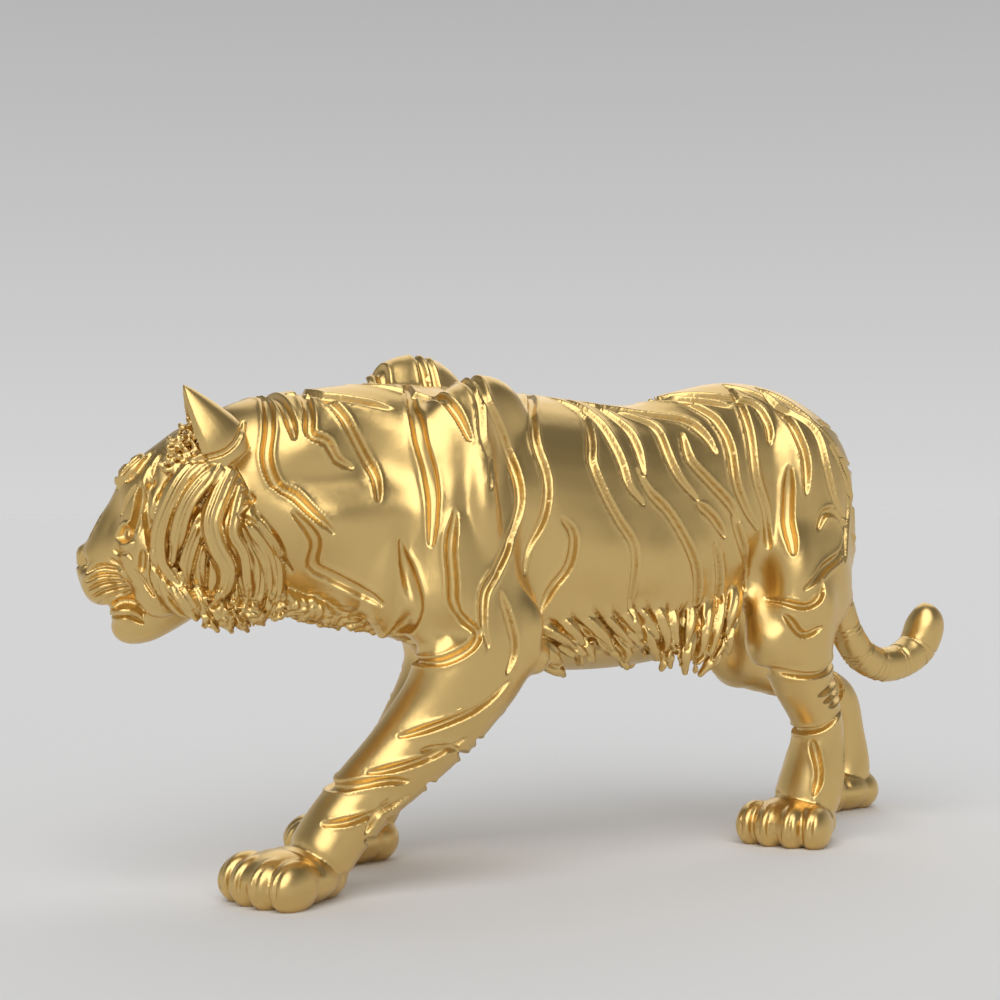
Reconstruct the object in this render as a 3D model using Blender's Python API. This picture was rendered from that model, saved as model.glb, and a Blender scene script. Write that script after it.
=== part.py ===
"""Walking tiger figurine, one solid casting with its stripes pressed into the coat.

The frame: +X runs towards the head, +Y to the tiger's left, +Z up. The soles stand on z = 0 and
the origin is under the middle of the whole figure.

The body is built as a modeller builds it in clay. Tubes (a rounded profile carried along a path)
and egg shapes are laid over each other, fused into one skin, softened, and then furrowed along
their normals. The tables are drawn in units: a body 100 units from haunch to shoulder, 130 high at
the shoulder and 50 wide, and each table is stretched to the sizes below.
"""
import math

import bmesh
import bpy
import numpy as np

# Driving dimensions, in metres
TRUNK_LENGTH = 0.100       # middle of the haunch to middle of the shoulder
SHOULDER_HEIGHT = 0.130    # floor to the top of the left shoulder blade
CHEST_WIDTH = 0.050
HEAD_LENGTH = 0.044        # back of the skull to the nose
HEAD_WIDTH = 0.040         # across the cheeks, under the ruff
HEAD_DEPTH = 0.052         # chin to crown
HEAD_HEIGHT = 0.092        # floor to the middle of the head
EAR_HEIGHT = 0.016
EAR_WIDTH = 0.0155
FORELEG_WIDTH = 0.0200     # across the forearm, halfway down
HINDLEG_WIDTH = 0.0150     # across the shank, at its narrowest
STANCE_WIDTH = 0.050       # between the middles of the left and right paws
PAW_LENGTH = 0.031
PAW_WIDTH = 0.026
PAW_HEIGHT = 0.014
TAIL_WIDTH = 0.0112
TAIL_REACH = 0.050         # rump to the end of the tail
RUFF_LOCK = 0.0056         # width of one lock of the ruff
BELLY_LOCK = 0.0046        # width of one lock of the belly fringe
FRINGE_DROP = 0.011        # how far the belly fringe hangs below its root
STRIPE_WIDTH = 0.0030
STRIPE_DEPTH = 0.0011

# Angles, in degrees
HEAD_TURN = -26.0          # to the tiger's right

# Fineness of the clay, in metres, and the number of flat facets left in the casting
COARSE_CELL = 0.0012
FINE_CELL = 0.00085
FACETS = 10600
FLOOR_SNAP = 0.00002

# The sizes that the tables are drawn at
DRAWN_TRUNK, DRAWN_CHEST, DRAWN_HEIGHT = 100.0, 50.0, 130.0
DRAWN_HEAD = np.array([44.0, 40.0, 52.0])
DRAWN_STANCE, DRAWN_FORELEG, DRAWN_HINDLEG = 50.0, 20.0, 15.0
DRAWN_TAIL, DRAWN_TAIL_REACH = 11.2, 50.0
BODY = np.array([TRUNK_LENGTH / DRAWN_TRUNK, CHEST_WIDTH / DRAWN_CHEST, SHOULDER_HEIGHT / DRAWN_HEIGHT])
HEAD = np.array([HEAD_LENGTH, HEAD_WIDTH, HEAD_DEPTH]) / DRAWN_HEAD
HEAD_AT = np.array([114.3 * BODY[0], -9.0 * BODY[1], HEAD_HEIGHT])
DRAWN_HEAD_AT = 92.0
RING = 28

# Trunk and neck, tail end first: along, out, up, half width, rise, fall
TRUNK = [
    (-93.5, 0, 100, 3, 5, 7), (-91, 0, 100, 9, 12, 13), (-86, 0, 100, 15, 19, 18),
    (-78, 0, 99, 19.5, 25.5, 22), (-66, 0, 97, 22, 32.3, 26), (-50, 0, 94, 22.5, 36.8, 30),
    (-32, 0, 88, 22.5, 39.6, 34), (-16, 0, 85.5, 23.5, 38.0, 34.5), (4, 0, 85, 25, 39.4, 34.5),
    (20, 0, 86, 26, 39.8, 34), (38, 0, 89, 26.5, 37.2, 34.5), (56, 0, 92, 24.5, 35, 31.5),
    (70, 0, 94, 22, 32.6, 29.5), (84, -1, 95, 20, 29.8, 25), (95, -3.5, 96, 18.5, 27, 23),
    (104, -6, 96.5, 16.5, 23, 20), (112, -9, 96, 11, 15, 15),
]

# Legs, from inside the body down to the ankle: along, out, up, half width, front, back
LEFT_FORELEG = [
    (52, 18, 92, 9, 14, 14), (50, 21.5, 72, 11, 17, 18), (48.5, 23, 59.5, 11.5, 16.5, 17.5),
    (53.5, 22.5, 48.5, 10.8, 12.5, 14), (60, 20.5, 40, 10.2, 10.7, 12.2), (67.7, 19, 32, 9.6, 9.4, 10.5),
    (75.5, 17.5, 24.5, 9, 8.6, 9.2), (82.5, 16.5, 16.5, 9, 8.4, 8.6), (87.5, 16, 9.5, 9.6, 8.2, 8.2),
]
RIGHT_FORELEG = [
    (38, -17, 92, 9, 14, 14), (28, -22, 72, 10.5, 15, 16), (25, -25, 58, 11, 13, 15),
    (30, -26, 46, 10, 10.5, 12), (38, -26, 34, 9, 9, 9.6), (45.5, -26, 23, 8.4, 8.2, 8.4),
    (51.5, -26, 12, 8.8, 8.4, 8),
]
LEFT_HINDLEG = [
    (-66, 15, 92, 10, 18, 18), (-60.5, 19, 72, 10.5, 15, 20), (-59, 20, 60, 10, 11, 15),
    (-63, 19, 48, 8.7, 9.2, 10), (-69, 17.5, 38, 7.6, 7.6, 8), (-71.5, 16.5, 32, 7.2, 7.2, 7.7),
    (-71.5, 16, 24, 8.2, 8.2, 8), (-70, 15.5, 16, 9.2, 9.2, 8.8), (-68, 15, 10, 9.5, 9.2, 9.2),
]
RIGHT_HINDLEG = [
    (-68, -16, 90, 10, 18, 18), (-70, -19, 68, 10.5, 16, 18), (-75, -21, 52, 9.5, 11, 12),
    (-88, -22.5, 45, 8, 8, 8.5), (-103, -24.5, 40, 6.8, 6.8, 7.2), (-114.5, -25, 34.5, 6.8, 6.8, 7.2),
    (-118.5, -25.5, 24, 6.6, 6.8, 6.8), (-120, -26, 14, 8, 8, 7.6), (-119, -26, 9, 8.6, 8.6, 8),
]

# Tail: along, out, up, half thickness
RUMP = -87.0
TAIL = [
    (-78, 0, 112, 6), (-86, 0, 106, 6.4), (-90.5, 0, 94, 6), (-91.5, 0, 78, 5.4), (-95, 0, 62, 5.1),
    (-103, 0, 50.5, 5.1), (-114, 0, 47, 5.4), (-125, 0, 51, 5.9), (-128.5, 0.5, 58, 6.2),
    (-128.5, 1, 61.5, 5.3), (-128, 1.2, 64.5, 3),
]

# Muscles under the coat: centre, half sizes, pitch in degrees
MUSCLES = [
    ((39, 13, 115.5), (14, 7.5, 14), 0), ((46, -12, 115.5), (21, 8.5, 20.8), 0),
    ((50, 16, 98), (18, 10.5, 30), -18), ((46, 19.5, 70), (20, 10.5, 18), -20),
    ((40, -16, 98), (17, 10.5, 30), -8), ((30, -20, 70), (16, 10, 17), 0),
    ((-66, 14.5, 92), (20, 11.5, 30), 8), ((-59, 18.5, 66), (15, 10, 19), 0), ((-52, 20, 58), (8, 8, 9), 0),
    ((-68, -15, 90), (20, 11.5, 30), -5), ((-72, -19, 62), (16, 10, 21), 0),
    ((-73, -21, 49), (9, 8.5, 9), 0),
]

# Paws: centre along and out, heading in degrees, leg that it ends
PAWS = {
    "left_fore": (95, 16, 14), "right_fore": (59, -25.5, -8),
    "left_hind": (-63.5, 15.5, 28), "right_hind": (-115, -27, -14),
}

# Skull and jaw in the head's own units: forward, out, up, half width, rise, fall
SKULL = [
    (-15, 0, 4, 12, 15, 16), (-8, 0, 4, 15.5, 18.8, 18), (-2, 0, 3, 16, 20.3, 20), (4, 0, 1, 15, 18.3, 20),
    (9, 0, -1, 13, 16.3, 19.5), (12.3, 0, -3, 11.3, 15, 17.5), (14.3, 0, -5, 10, 13.2, 15.5),
    (16, 0, -7, 9.2, 11.6, 13.8), (18.4, 0, -9, 8, 10, 12), (21.2, 0, -10.5, 6.5, 6, 9),
    (23, 0, -11, 4, 2.5, 5),
]
JAW = [
    (-8, 0, -14, 11, 8, 8), (0, 0, -19, 9.5, 6, 8), (6, 0, -23, 7.5, 3.5, 7), (11, 0, -25.5, 6, 3, 5),
    (14.4, 0, -26, 4, 1.5, 3),
]
CHEEK = [
    (-9, 12, 16, 3, 5, 5), (-8, 14.5, 9, 5, 9, 9), (-8, 16, 0, 6.5, 12, 12), (-9, 16.5, -9, 6.5, 11, 12.5),
    (-11.5, 16, -17, 6, 9.5, 12), (-15, 15, -23, 5, 7, 9.5), (-17, 14, -27.5, 2.5, 3, 5),
]

# First and last lock of the ruff, root to tip, in the head's units; the others lie between them
RUFF_FRONT = [(-3, 15, 13), (3.5, 17.5, 1), (2.5, 18, -12), (-3, 16.5, -20), (-7, 15, -25)]
RUFF_BACK = [(-16, 14, 14), (-20, 17, 1), (-20.5, 17.5, -9), (-23.5, 16.5, -17), (-26, 15, -22)]
RUFF_SAG = 5.0
RUFF_LOCKS = 11

# Roots of the belly fringe on the left, front to rear, and how far each drops back
FRINGE_ROOTS = [(24, 22, 66), (7, 22.5, 65), (-13, 21.5, 64), (-32, 20.5, 64), (-45, 19, 67)]
FRINGE_SWEEP = (-9, -7, -2, 4, 1)
FRINGE_LOCKS = 17

# First and last root of the tufts under the neck, and how far a fold of skin lies inside its roots
CHEST_ROOTS = [(68, 11, 65.5), (98, 7.5, 73.5)]
CHEST_LOCKS = 8
THROAT = ((100, -1, 78), (9, 12, 7.5))
FOLD_INSET = (0, 2.5, -1.5)

# Stripes on the left flank, head end first: along and up
STRIPES = [
    [(97, 119), (99, 109), (97, 101), (93, 98), (90, 94), (85, 89)],
    [(92, 120), (92, 113)],
    [(87, 121), (88, 114), (84, 111), (82, 107), (78, 105)],
    [(79, 120), (77, 114), (74, 108), (72, 103), (73, 97)],
    [(73, 124), (69, 122), (66, 120)],
    [(58, 127), (60, 120), (61, 112), (60, 103), (61, 93), (62, 86)],
    [(60, 129), (55, 125), (52, 119), (50, 112)],
    [(45, 126), (45, 121), (46, 113), (45, 107), (47, 100)],
    [(42, 128), (42, 122), (37, 112), (35, 102), (36, 94), (41, 86), (46, 79), (50, 74), (51, 66), (50, 61)],
    [(21, 126), (24, 120), (27, 112), (26, 102), (28, 92), (32, 84), (33, 78)],
    [(45, 74), (43, 66), (42, 60), (44, 54)],
    [(94, 94), (89, 87), (88, 81), (83, 78), (76, 74), (72, 71)],
    [(66, 86), (66, 79), (66, 72), (67, 66)],
    [(56, 94), (58, 86), (58, 78), (58, 72), (56, 68)],
    [(8, 125), (6, 121), (8, 113), (10, 107), (8, 99), (4, 91), (0, 85), (-1, 75), (-3, 65)],
    [(4, 124), (2, 117), (0, 108), (-1, 101), (-5, 96)],
    [(-4, 121), (-7, 114), (-7, 104)],
    [(-5, 105), (-8, 99), (-14, 93), (-20, 83), (-24, 74), (-27, 63)],
    [(-10, 123), (-16, 118), (-17, 109), (-19, 103), (-24, 97)],
    [(-24, 115), (-24, 108), (-29, 102), (-35, 96), (-38, 91)],
    [(-19, 123), (-26, 120), (-31, 115), (-33, 110)],
    [(-32, 126), (-36, 120), (-38, 113), (-38, 102), (-41, 94), (-45, 89)],
    [(-37, 127), (-43, 124)],
    [(-44, 128), (-51, 125), (-53, 119), (-52, 113)],
    [(-24, 96), (-29, 92), (-33, 87)],
    [(-29, 85), (-32, 77), (-34, 69)],
    [(-36, 93), (-39, 86), (-43, 79), (-45, 72)],
    [(22, 92), (19, 88), (20, 80), (24, 74), (27, 67)],
    [(-46, 118), (-45, 104), (-48, 94), (-49, 84)],
    [(-56, 106), (-55, 97), (-54, 90), (-53, 82)],
    [(-60, 117), (-61, 109), (-60, 99)],
    [(-60, 124), (-67, 117), (-68, 107), (-70, 97), (-74, 92)],
    [(-70, 119), (-77, 109), (-80, 100), (-84, 90)],
    [(-57, 90), (-63, 91), (-66, 87), (-69, 92), (-76, 92), (-77, 86), (-69, 79), (-64, 76), (-57, 69)],
]

# Stripes round a foreleg and a hind leg: share of the way down, then front (1) to back (-1)
FORELEG_STRIPES = [
    [(0.45, -0.1), (0.52, 0.45), (0.57, 0.9)], [(0.58, -0.1), (0.64, 0.45), (0.68, 0.9)],
    [(0.71, 0.1), (0.76, 0.5), (0.8, 0.9)], [(0.76, -0.4), (0.81, 0.1), (0.86, 0.6)],
    [(0.5, -0.9), (0.55, -0.4)], [(0.66, -0.9), (0.7, -0.5)],
]
HINDLEG_STRIPES = [
    [(0.5, 0.95), (0.52, 0.3), (0.5, -0.3)], [(0.58, 0.95), (0.62, 0.3), (0.6, -0.4), (0.56, -0.95)],
    [(0.68, 0.95), (0.72, 0.3), (0.71, -0.4), (0.67, -0.95)], [(0.44, -0.2), (0.42, -0.6), (0.36, -0.95)],
]

# Furrows of the face, on both sides: forward and up in the head's units, width, depth
MOUTH = [(19.5, -19.5), (15.5, -22), (10, -22.7), (5.5, -22.3), (2.5, -19)]
WHISKERS = [
    [(20.5, -10.5), (16, -9.5), (12, -9.5)], [(21, -13), (16.5, -12.5), (11.5, -13)],
    [(21, -15.6), (16.5, -15.6), (12, -17)], [(20, -18), (16.5, -18.6), (13, -20)],
]
BROWS = [
    [(12, 1), (9, 7), (4, 12)], [(14.6, 3), (12, 8.5), (8, 14)], [(7, -3), (4, 5), (0, 11)],
    [(3, -8), (1, 0), (-1, 8)],
]
EYE = (10.3, 11.0, -2.0)
EYE_SIZE = (2.6, 3.0, 2.2)


def clear_scene():
    """Remove every object that the open file starts with."""
    for item in list(bpy.data.objects):
        bpy.data.objects.remove(item, do_unlink=True)


def smooth_path(rows, step):
    """Catmull-Rom curve through the rows, sampled about every step of its first three columns."""
    rows = np.asarray(rows, float)
    held = np.vstack([2 * rows[0] - rows[1], rows, 2 * rows[-1] - rows[-2]])
    pieces = []
    for i in range(1, len(rows)):
        before, here, there, after = held[i - 1:i + 3]
        count = max(2, int(np.linalg.norm((there - here)[:3]) / step))
        t = (np.arange(count) / count)[:, None]
        bend = (2 * before - 5 * here + 4 * there - after) * t ** 2
        swing = (3 * here - before - 3 * there + after) * t ** 3
        pieces.append(0.5 * (2 * here + (there - before) * t + bend + swing))
    return np.vstack(pieces + [rows[-1:]])


def tube_faces(rings, sides):
    """Quads between neighbouring rings, and a fan onto each end point."""
    row = np.arange(rings - 1)[:, None] * sides
    a = np.arange(sides)
    b = (a + 1) % sides
    walls = np.stack([row + a, row + b, row + sides + b, row + sides + a], -1).reshape(-1, 4)
    start = np.stack([np.full(sides, rings * sides), b, a], 1)
    top = (rings - 1) * sides
    end = np.stack([np.full(sides, rings * sides + 1), top + a, top + b], 1)
    return [tuple(face) for group in (walls, start, end) for face in group.tolist()]


def tube(rows, upright=False, step=2.0, fullness=2.0, tip=0.6):
    """A rounded profile carried along a path.

    Each row is a centre, then the profile's half width, its reach in front and its reach behind.
    An upright tube keeps its sections vertical; any other turns them square to the path.
    """
    path = smooth_path(rows, step)
    centre = path[:, :3]
    wide, front, back = np.maximum(path[:, 3:6], 0.02 * path[:, 3:6].max()).T
    along = np.gradient(centre, axis=0)
    along /= np.linalg.norm(along, axis=1, keepdims=True)
    across = np.tile([0.0, 1.0, 0.0], (len(path), 1))
    rise = np.tile([0.0, 0.0, 1.0], (len(path), 1))
    if not upright:
        across -= along[:, 1:2] * along
        across /= np.linalg.norm(across, axis=1, keepdims=True)
        rise = np.cross(along, across)
    angle = np.arange(RING) * 2 * math.pi / RING
    flat = np.sign(np.cos(angle)) * np.abs(np.cos(angle)) ** (2 / fullness)
    tall = np.sign(np.sin(angle)) * np.abs(np.sin(angle)) ** (2 / fullness)
    reach = np.where(tall > 0, front[:, None], back[:, None]) * tall
    spread = (wide[:, None] * flat)[..., None] * across[:, None]
    rings = centre[:, None] + spread + reach[..., None] * rise[:, None]
    caps = tip * np.minimum(wide, front)
    ends = [centre[0] - along[0] * caps[0], centre[-1] + along[-1] * caps[-1]]
    return np.vstack([rings.reshape(-1, 3), ends]), tube_faces(len(path), RING)


def turned(points, pitch=0.0, yaw=0.0):
    """Points turned nose-down by pitch about the out axis, then by yaw about the upright axis."""
    p, y = math.radians(pitch), math.radians(yaw)
    tilt = np.array([[math.cos(p), 0, math.sin(p)], [0, 1, 0], [-math.sin(p), 0, math.cos(p)]])
    swing = np.array([[math.cos(y), -math.sin(y), 0], [math.sin(y), math.cos(y), 0], [0, 0, 1]])
    return points @ (swing @ tilt).T


def egg(centre, half_sizes, pitch=0.0, yaw=0.0, rings=14):
    """An ellipsoid by latitude and angle, turned and moved to its centre."""
    latitude = np.linspace(-math.pi / 2, math.pi / 2, rings + 2)[1:-1, None]
    angle = np.arange(RING) * 2 * math.pi / RING
    ball = np.stack([np.cos(latitude) * np.cos(angle), np.cos(latitude) * np.sin(angle),
                     np.sin(latitude) + 0 * angle], -1).reshape(-1, 3)
    ball = np.vstack([ball, [[0, 0, -1], [0, 0, 1]]]) * np.asarray(half_sizes, float)
    return turned(ball, pitch, yaw) + np.asarray(centre, float), tube_faces(rings, RING)


def mirrored(rows, side):
    """The rows with their out column on the given side: 1 is left, -1 is right."""
    flipped = np.array(rows, float)
    flipped[:, 1] *= side
    return flipped


def body_space(form):
    """A form drawn in body units, in metres; its neck follows the height of the head."""
    points, faces = form
    metres = points * BODY
    neck = np.clip((points[:, 0] - 62) / 45, 0, 1)
    metres[:, 2] += neck ** 2 * (3 - 2 * neck) * (HEAD_HEIGHT - DRAWN_HEAD_AT * BODY[2])
    return metres, faces


def head_space(form):
    """A form drawn in the head's units, in metres, turned and set on the neck."""
    points, faces = form
    return turned(points * HEAD, yaw=HEAD_TURN) + HEAD_AT, faces


def stance(out, up):
    """Metres out from the middle: the body's width at the top of a leg, the stance's at its foot."""
    high = np.clip((np.asarray(up, float) - 50) / 40, 0, 1)
    return np.asarray(out, float) * (high * BODY[1] + (1 - high) * STANCE_WIDTH / DRAWN_STANCE)


def leg_rows(rows, width, drawn_width):
    """A leg's rows in metres: thick as its width says low down, and as the body says at its root."""
    rows = np.array(rows, float)
    high = np.clip((rows[:, 2:3] - 55) / 30, 0, 1)
    thick = high * BODY[0] + (1 - high) * width / drawn_width
    return np.hstack([rows[:, :1] * BODY[0], stance(rows[:, 1:2], rows[:, 2:3]), rows[:, 2:3] * BODY[2],
                      rows[:, 3:6] * thick])


def leg(rows, width, drawn_width):
    """The tube of one leg, in metres."""
    return tube(leg_rows(rows, width, drawn_width), step=0.002)


def tail():
    """A round tube that drops from the rump and hooks up at its end."""
    rows = np.array(TAIL, float)
    rows[:, 0] = RUMP + (rows[:, 0] - RUMP) * TAIL_REACH / TRUNK_LENGTH * DRAWN_TRUNK / DRAWN_TAIL_REACH
    girth = rows[:, 3:4] * TAIL_WIDTH / DRAWN_TAIL
    return tube(np.hstack([rows[:, :3] * BODY, girth, girth, girth]), step=0.002)


def muscles():
    """The eggs that round out the shoulders and the haunches."""
    return [body_space(egg(centre, half, pitch)) for centre, half, pitch in MUSCLES]


def paw(along, out, heading):
    """A pad, a heel and four toes in an arc, dipping a little below the floor to be cut flat."""
    long, wide, high = PAW_LENGTH / 2, PAW_WIDTH / 2, PAW_HEIGHT / 2
    forms = [egg((0, 0, high * 0.92), (long * 0.8, wide * 0.92, high * 1.06)),
             egg((-long * 0.52, 0, high * 0.86), (long * 0.52, wide * 0.72, high * 1.04))]
    for out_share, forward in ((-0.74, 0.42), (-0.26, 0.62), (0.26, 0.62), (0.74, 0.42)):
        forms.append(egg((forward * long, out_share * wide, high * 0.78),
                         (long * 0.46, wide * 0.31, high * 0.88), yaw=out_share * 14))
    place = np.array([along * BODY[0], float(stance(out, 0)), 0])
    return [(turned(points, yaw=heading) + place, faces) for points, faces in forms]


def head_masses():
    """Skull, jaw, cheekbones and the cheeks that carry the ruff."""
    forms = [tube(SKULL, upright=True, fullness=2.2), tube(JAW, upright=True)]
    for side in (1, -1):
        forms += [egg((4, side * 10, -8), (9, 6, 10)), tube(mirrored(CHEEK, side))]
    return [head_space(form) for form in forms]


def ear(side):
    """A cupped leaf: crescent sections from the base to the tip, hollow at the front."""
    base = np.array([-10 * HEAD[0], side * 12 * HEAD[1], 16.5 * HEAD[2]])
    tall = EAR_HEIGHT * np.array([0.40, side * 0.16, 0.90])
    tip = base + tall
    rise = tall / np.linalg.norm(tall)
    facing = np.array([0.62, side * 0.78, 0.0])
    facing -= (facing @ rise) * rise
    facing /= np.linalg.norm(facing)
    wide = np.cross(rise, facing)
    share = np.linspace(0, 1, 12)[:, None, None]
    angle = (np.arange(RING) * 2 * math.pi / RING)[None, :, None]
    half = EAR_WIDTH / 2 * np.sqrt(np.clip(1 - share ** 1.6, 0, 1)) + 0.0004
    back = np.sin(angle) < 0
    depth = -np.where(back, 0.62, 0.18) * half * np.abs(np.sin(angle)) ** 0.8
    depth += np.where(back, -1, 1) * 0.0005 * np.abs(np.sin(angle))
    rings = base + tall * share + half * np.cos(angle) * wide + depth * facing
    ends = [base - rise * 0.002, tip + rise * 0.0003]
    return turned(np.vstack([rings.reshape(-1, 3), ends]), yaw=HEAD_TURN) + HEAD_AT, tube_faces(12, RING)


def face_details():
    """Nose, muzzle pads, brows and ears."""
    forms = [egg((22.2, 0, -8.6), (2, 3.6, 2.6)), egg((10.5, 0, -26), (5.2, 5.5, 4.6))]
    for side in (1, -1):
        forms += [egg((17, side * 4.6, -14.8), (6, 4.9, 6.2)), egg((12, side * 7.5, 4.2), (4, 4.4, 3.2))]
    return [head_space(form) for form in forms] + [ear(1), ear(-1)]


def lock(points, width):
    """A tapering tuft of fur in metres: full in the middle, pointed at its tip."""
    points = np.asarray(points, float)
    girth = width / 2 * np.interp(np.linspace(0, 1, len(points)), (0, 0.35, 0.75, 1), (0.8, 1, 0.75, 0.2))
    return tube(np.column_stack([points, girth, girth, girth]), step=width / 3)


def ruff():
    """Locks on both cheeks, blended from the front one to the back one, their tips in a sagging row."""
    forms = []
    front, back = np.array(RUFF_FRONT, float), np.array(RUFF_BACK, float)
    for side in (1, -1):
        for i in range(RUFF_LOCKS):
            share = i / (RUFF_LOCKS - 1)
            path = front * (1 - share) + back * share
            ripple = np.sin(np.arange(len(path)) * 1.9 + i * 2.4)
            path[:, 0] += 1.1 * ripple
            path[:, 1] += 0.9 * np.cos(i * 2.1) + 1.6 * math.sin(math.pi * share)
            path[:, 2] -= RUFF_SAG * math.sin(math.pi * share) * np.linspace(0, 1, len(path)) ** 2
            path[-1, 2] += 1.5 * math.sin(i * 2.9)
            points = turned(mirrored(path, side) * HEAD, yaw=HEAD_TURN) + HEAD_AT
            forms.append(lock(points, RUFF_LOCK))
    return forms


def fold(roots, side, girth):
    """A roll of skin along a row of roots, so that every lock grows out of the coat."""
    points = mirrored(roots, side) * BODY
    rows = np.hstack([points, np.full((len(points), 3), girth)])
    return tube(rows, step=0.002)


def fringe():
    """Locks along both sides of the belly, swept back at the front and forwards at the rear."""
    forms = []
    roots = np.array(FRINGE_ROOTS, float)
    spots = np.linspace(0, len(roots) - 1, FRINGE_LOCKS)
    for side in (1, -1):
        forms.append(fold(roots - FOLD_INSET, side, 0.9 * BELLY_LOCK))
        for i, spot in enumerate(spots):
            root = np.array([np.interp(spot, range(len(roots)), roots[:, k]) for k in range(3)])
            sweep = np.interp(spot, range(len(roots)), FRINGE_SWEEP) + 1.5 * math.sin(i * 2.3)
            drop = FRINGE_DROP * (1 + 0.22 * math.sin(i * 1.7))
            start = root * BODY
            fall = [(0, -0.2, 0.25), (0.3, 0.2, -0.2), (0.75, 0.1, -0.7), (1.0, -0.5, -1.05)]
            points = [start + (sweep * BODY[0] * a, b * 0.004, drop * c) for a, b, c in fall]
            forms.append(lock(mirrored(points, side), BELLY_LOCK * (1 + 0.15 * math.cos(i * 2.7))))
    return forms


def chest_tufts():
    """Short tufts under the neck, between the ruff and the chest."""
    forms = [body_space(egg(*THROAT))]
    first, last = np.array(CHEST_ROOTS, float)
    for side in (1, -1):
        forms.append(fold([first - FOLD_INSET, last - FOLD_INSET], side, 0.9 * BELLY_LOCK))
        for i in range(CHEST_LOCKS):
            start = first + (last - first) * i / (CHEST_LOCKS - 1)
            points = [start + (2, 0, 2.5), start, start + (-3, -1, -1.6 - 0.7 * math.sin(i * 2.2))]
            forms.append(lock(mirrored(points, side) * BODY, BELLY_LOCK))
    return forms


def elbow_tufts():
    """Short tufts down the back edge of each foreleg."""
    forms = []
    for rows in (LEFT_FORELEG, RIGHT_FORELEG):
        path = smooth_path(leg_rows(rows, FORELEG_WIDTH, DRAWN_FORELEG), 0.001)
        low = [i for i in range(len(path)) if path[i, 2] < 0.44 * SHOULDER_HEIGHT]
        for k in range(6):
            row = path[low[int(k * len(low) / 8)]]
            start = row[:3] + np.array([-0.62, 0, -0.62]) * row[5]
            points = [start + (0.0015, 0, 0.0025), start, start + (0.0007, 0, -0.0032)]
            forms.append(lock(points, BELLY_LOCK))
    return forms


def fuse(name, forms, cell, passes):
    """Join the forms into one skin of square cells and soften it."""
    points, faces, offset = [], [], 0
    for form_points, form_faces in forms:
        points.append(form_points)
        faces += [tuple(i + offset for i in face) for face in form_faces]
        offset += len(form_points)
    mesh = bpy.data.meshes.new(name)
    mesh.from_pydata(np.vstack(points).tolist(), [], faces)
    item = bpy.data.objects.new(name, mesh)
    bpy.context.scene.collection.objects.link(item)
    skin = item.modifiers.new("skin", "REMESH")
    skin.mode = "VOXEL"
    skin.voxel_size = cell
    soften = item.modifiers.new("soften", "SMOOTH")
    soften.factor = 0.5
    soften.iterations = passes
    return bake(item)


def bake(item):
    """Replace the object's mesh with its modifiers' result."""
    graph = bpy.context.evaluated_depsgraph_get()
    graph.update()
    result = bpy.data.meshes.new_from_object(item.evaluated_get(graph))
    item.modifiers.clear()
    old = item.data
    item.data = result
    bpy.data.meshes.remove(old)
    return item


def form_of(item):
    """The object's points and faces, to be fused again with finer forms."""
    points = vertex_array(item.data.vertices, "co")
    return points, [tuple(face.vertices) for face in item.data.polygons]


def vertex_array(items, name):
    """One vector for each item of a mesh, as an array."""
    values = np.empty(len(items) * 3, np.float32)
    items.foreach_get(name, values)
    return values.reshape(-1, 3).astype(float)


def furrow(points, line, half_width):
    """How deep each flat point lies in a furrow: 1 on its line, 0 half a width away, fading at its ends."""
    path = smooth_path(np.column_stack([line, np.zeros(len(line))]), 1.5)[:, :2]
    depth = np.zeros(len(points))
    reach = np.linalg.norm(np.diff(path, axis=0), axis=1)
    total = reach.sum()
    run = np.concatenate([[0], np.cumsum(reach)])
    near = np.all((points > path.min(0) - half_width) & (points < path.max(0) + half_width), axis=1)
    spots = points[near]
    best = np.zeros(len(spots))
    for i in range(len(path) - 1):
        step = path[i + 1] - path[i]
        share = np.clip((spots - path[i]) @ step / (step @ step), 0, 1)
        gap = np.linalg.norm(spots - path[i] - share[:, None] * step, axis=1)
        place = (run[i] + share * reach[i]) / total
        fade = np.clip(np.minimum(place, 1 - place) * 5, 0, 1) ** 0.6
        section = np.clip(1 - gap / (half_width * (0.35 + 0.65 * fade)), 0, 1)
        best = np.maximum(best, section * (0.3 + 0.7 * fade))
    depth[near] = best
    return depth


def limb_line(rows, stripe):
    """A stripe's share-of-the-way-down and front-to-back pairs, as along and up in body units."""
    path = smooth_path(rows, 1.0)
    spots = []
    for down, front in stripe:
        at = path[int(down * (len(path) - 1))]
        ahead = path[min(int(down * (len(path) - 1)) + 1, len(path) - 1)]
        back = path[max(int(down * (len(path) - 1)) - 1, 0)]
        run = (ahead - back)[[0, 2]]
        square = np.array([-run[1], run[0]]) / np.linalg.norm(run)
        reach = at[4] if front > 0 else at[5]
        spots.append(at[[0, 2]] + square * front * reach)
    return spots


def stripe_depth(points):
    """Depth of the stripes, 0 to 1, on both flanks and the legs; points in metres."""
    drawn = points / BODY
    flat = drawn[:, [0, 2]]
    half = STRIPE_WIDTH / 2 / BODY[0]
    left, right = drawn[:, 1] > 0, drawn[:, 1] < 0
    depth = np.zeros(len(points))
    for line in STRIPES:
        depth = np.maximum(depth, furrow(flat, line, half))
    legs = ((LEFT_FORELEG, left, FORELEG_STRIPES), (RIGHT_FORELEG, right, FORELEG_STRIPES),
            (LEFT_HINDLEG, left, HINDLEG_STRIPES), (RIGHT_HINDLEG, right, HINDLEG_STRIPES))
    for rows, side, stripes in legs:
        for line in stripes:
            depth = np.maximum(depth, furrow(flat, limb_line(rows, line), half) * side)
    return depth


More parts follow.
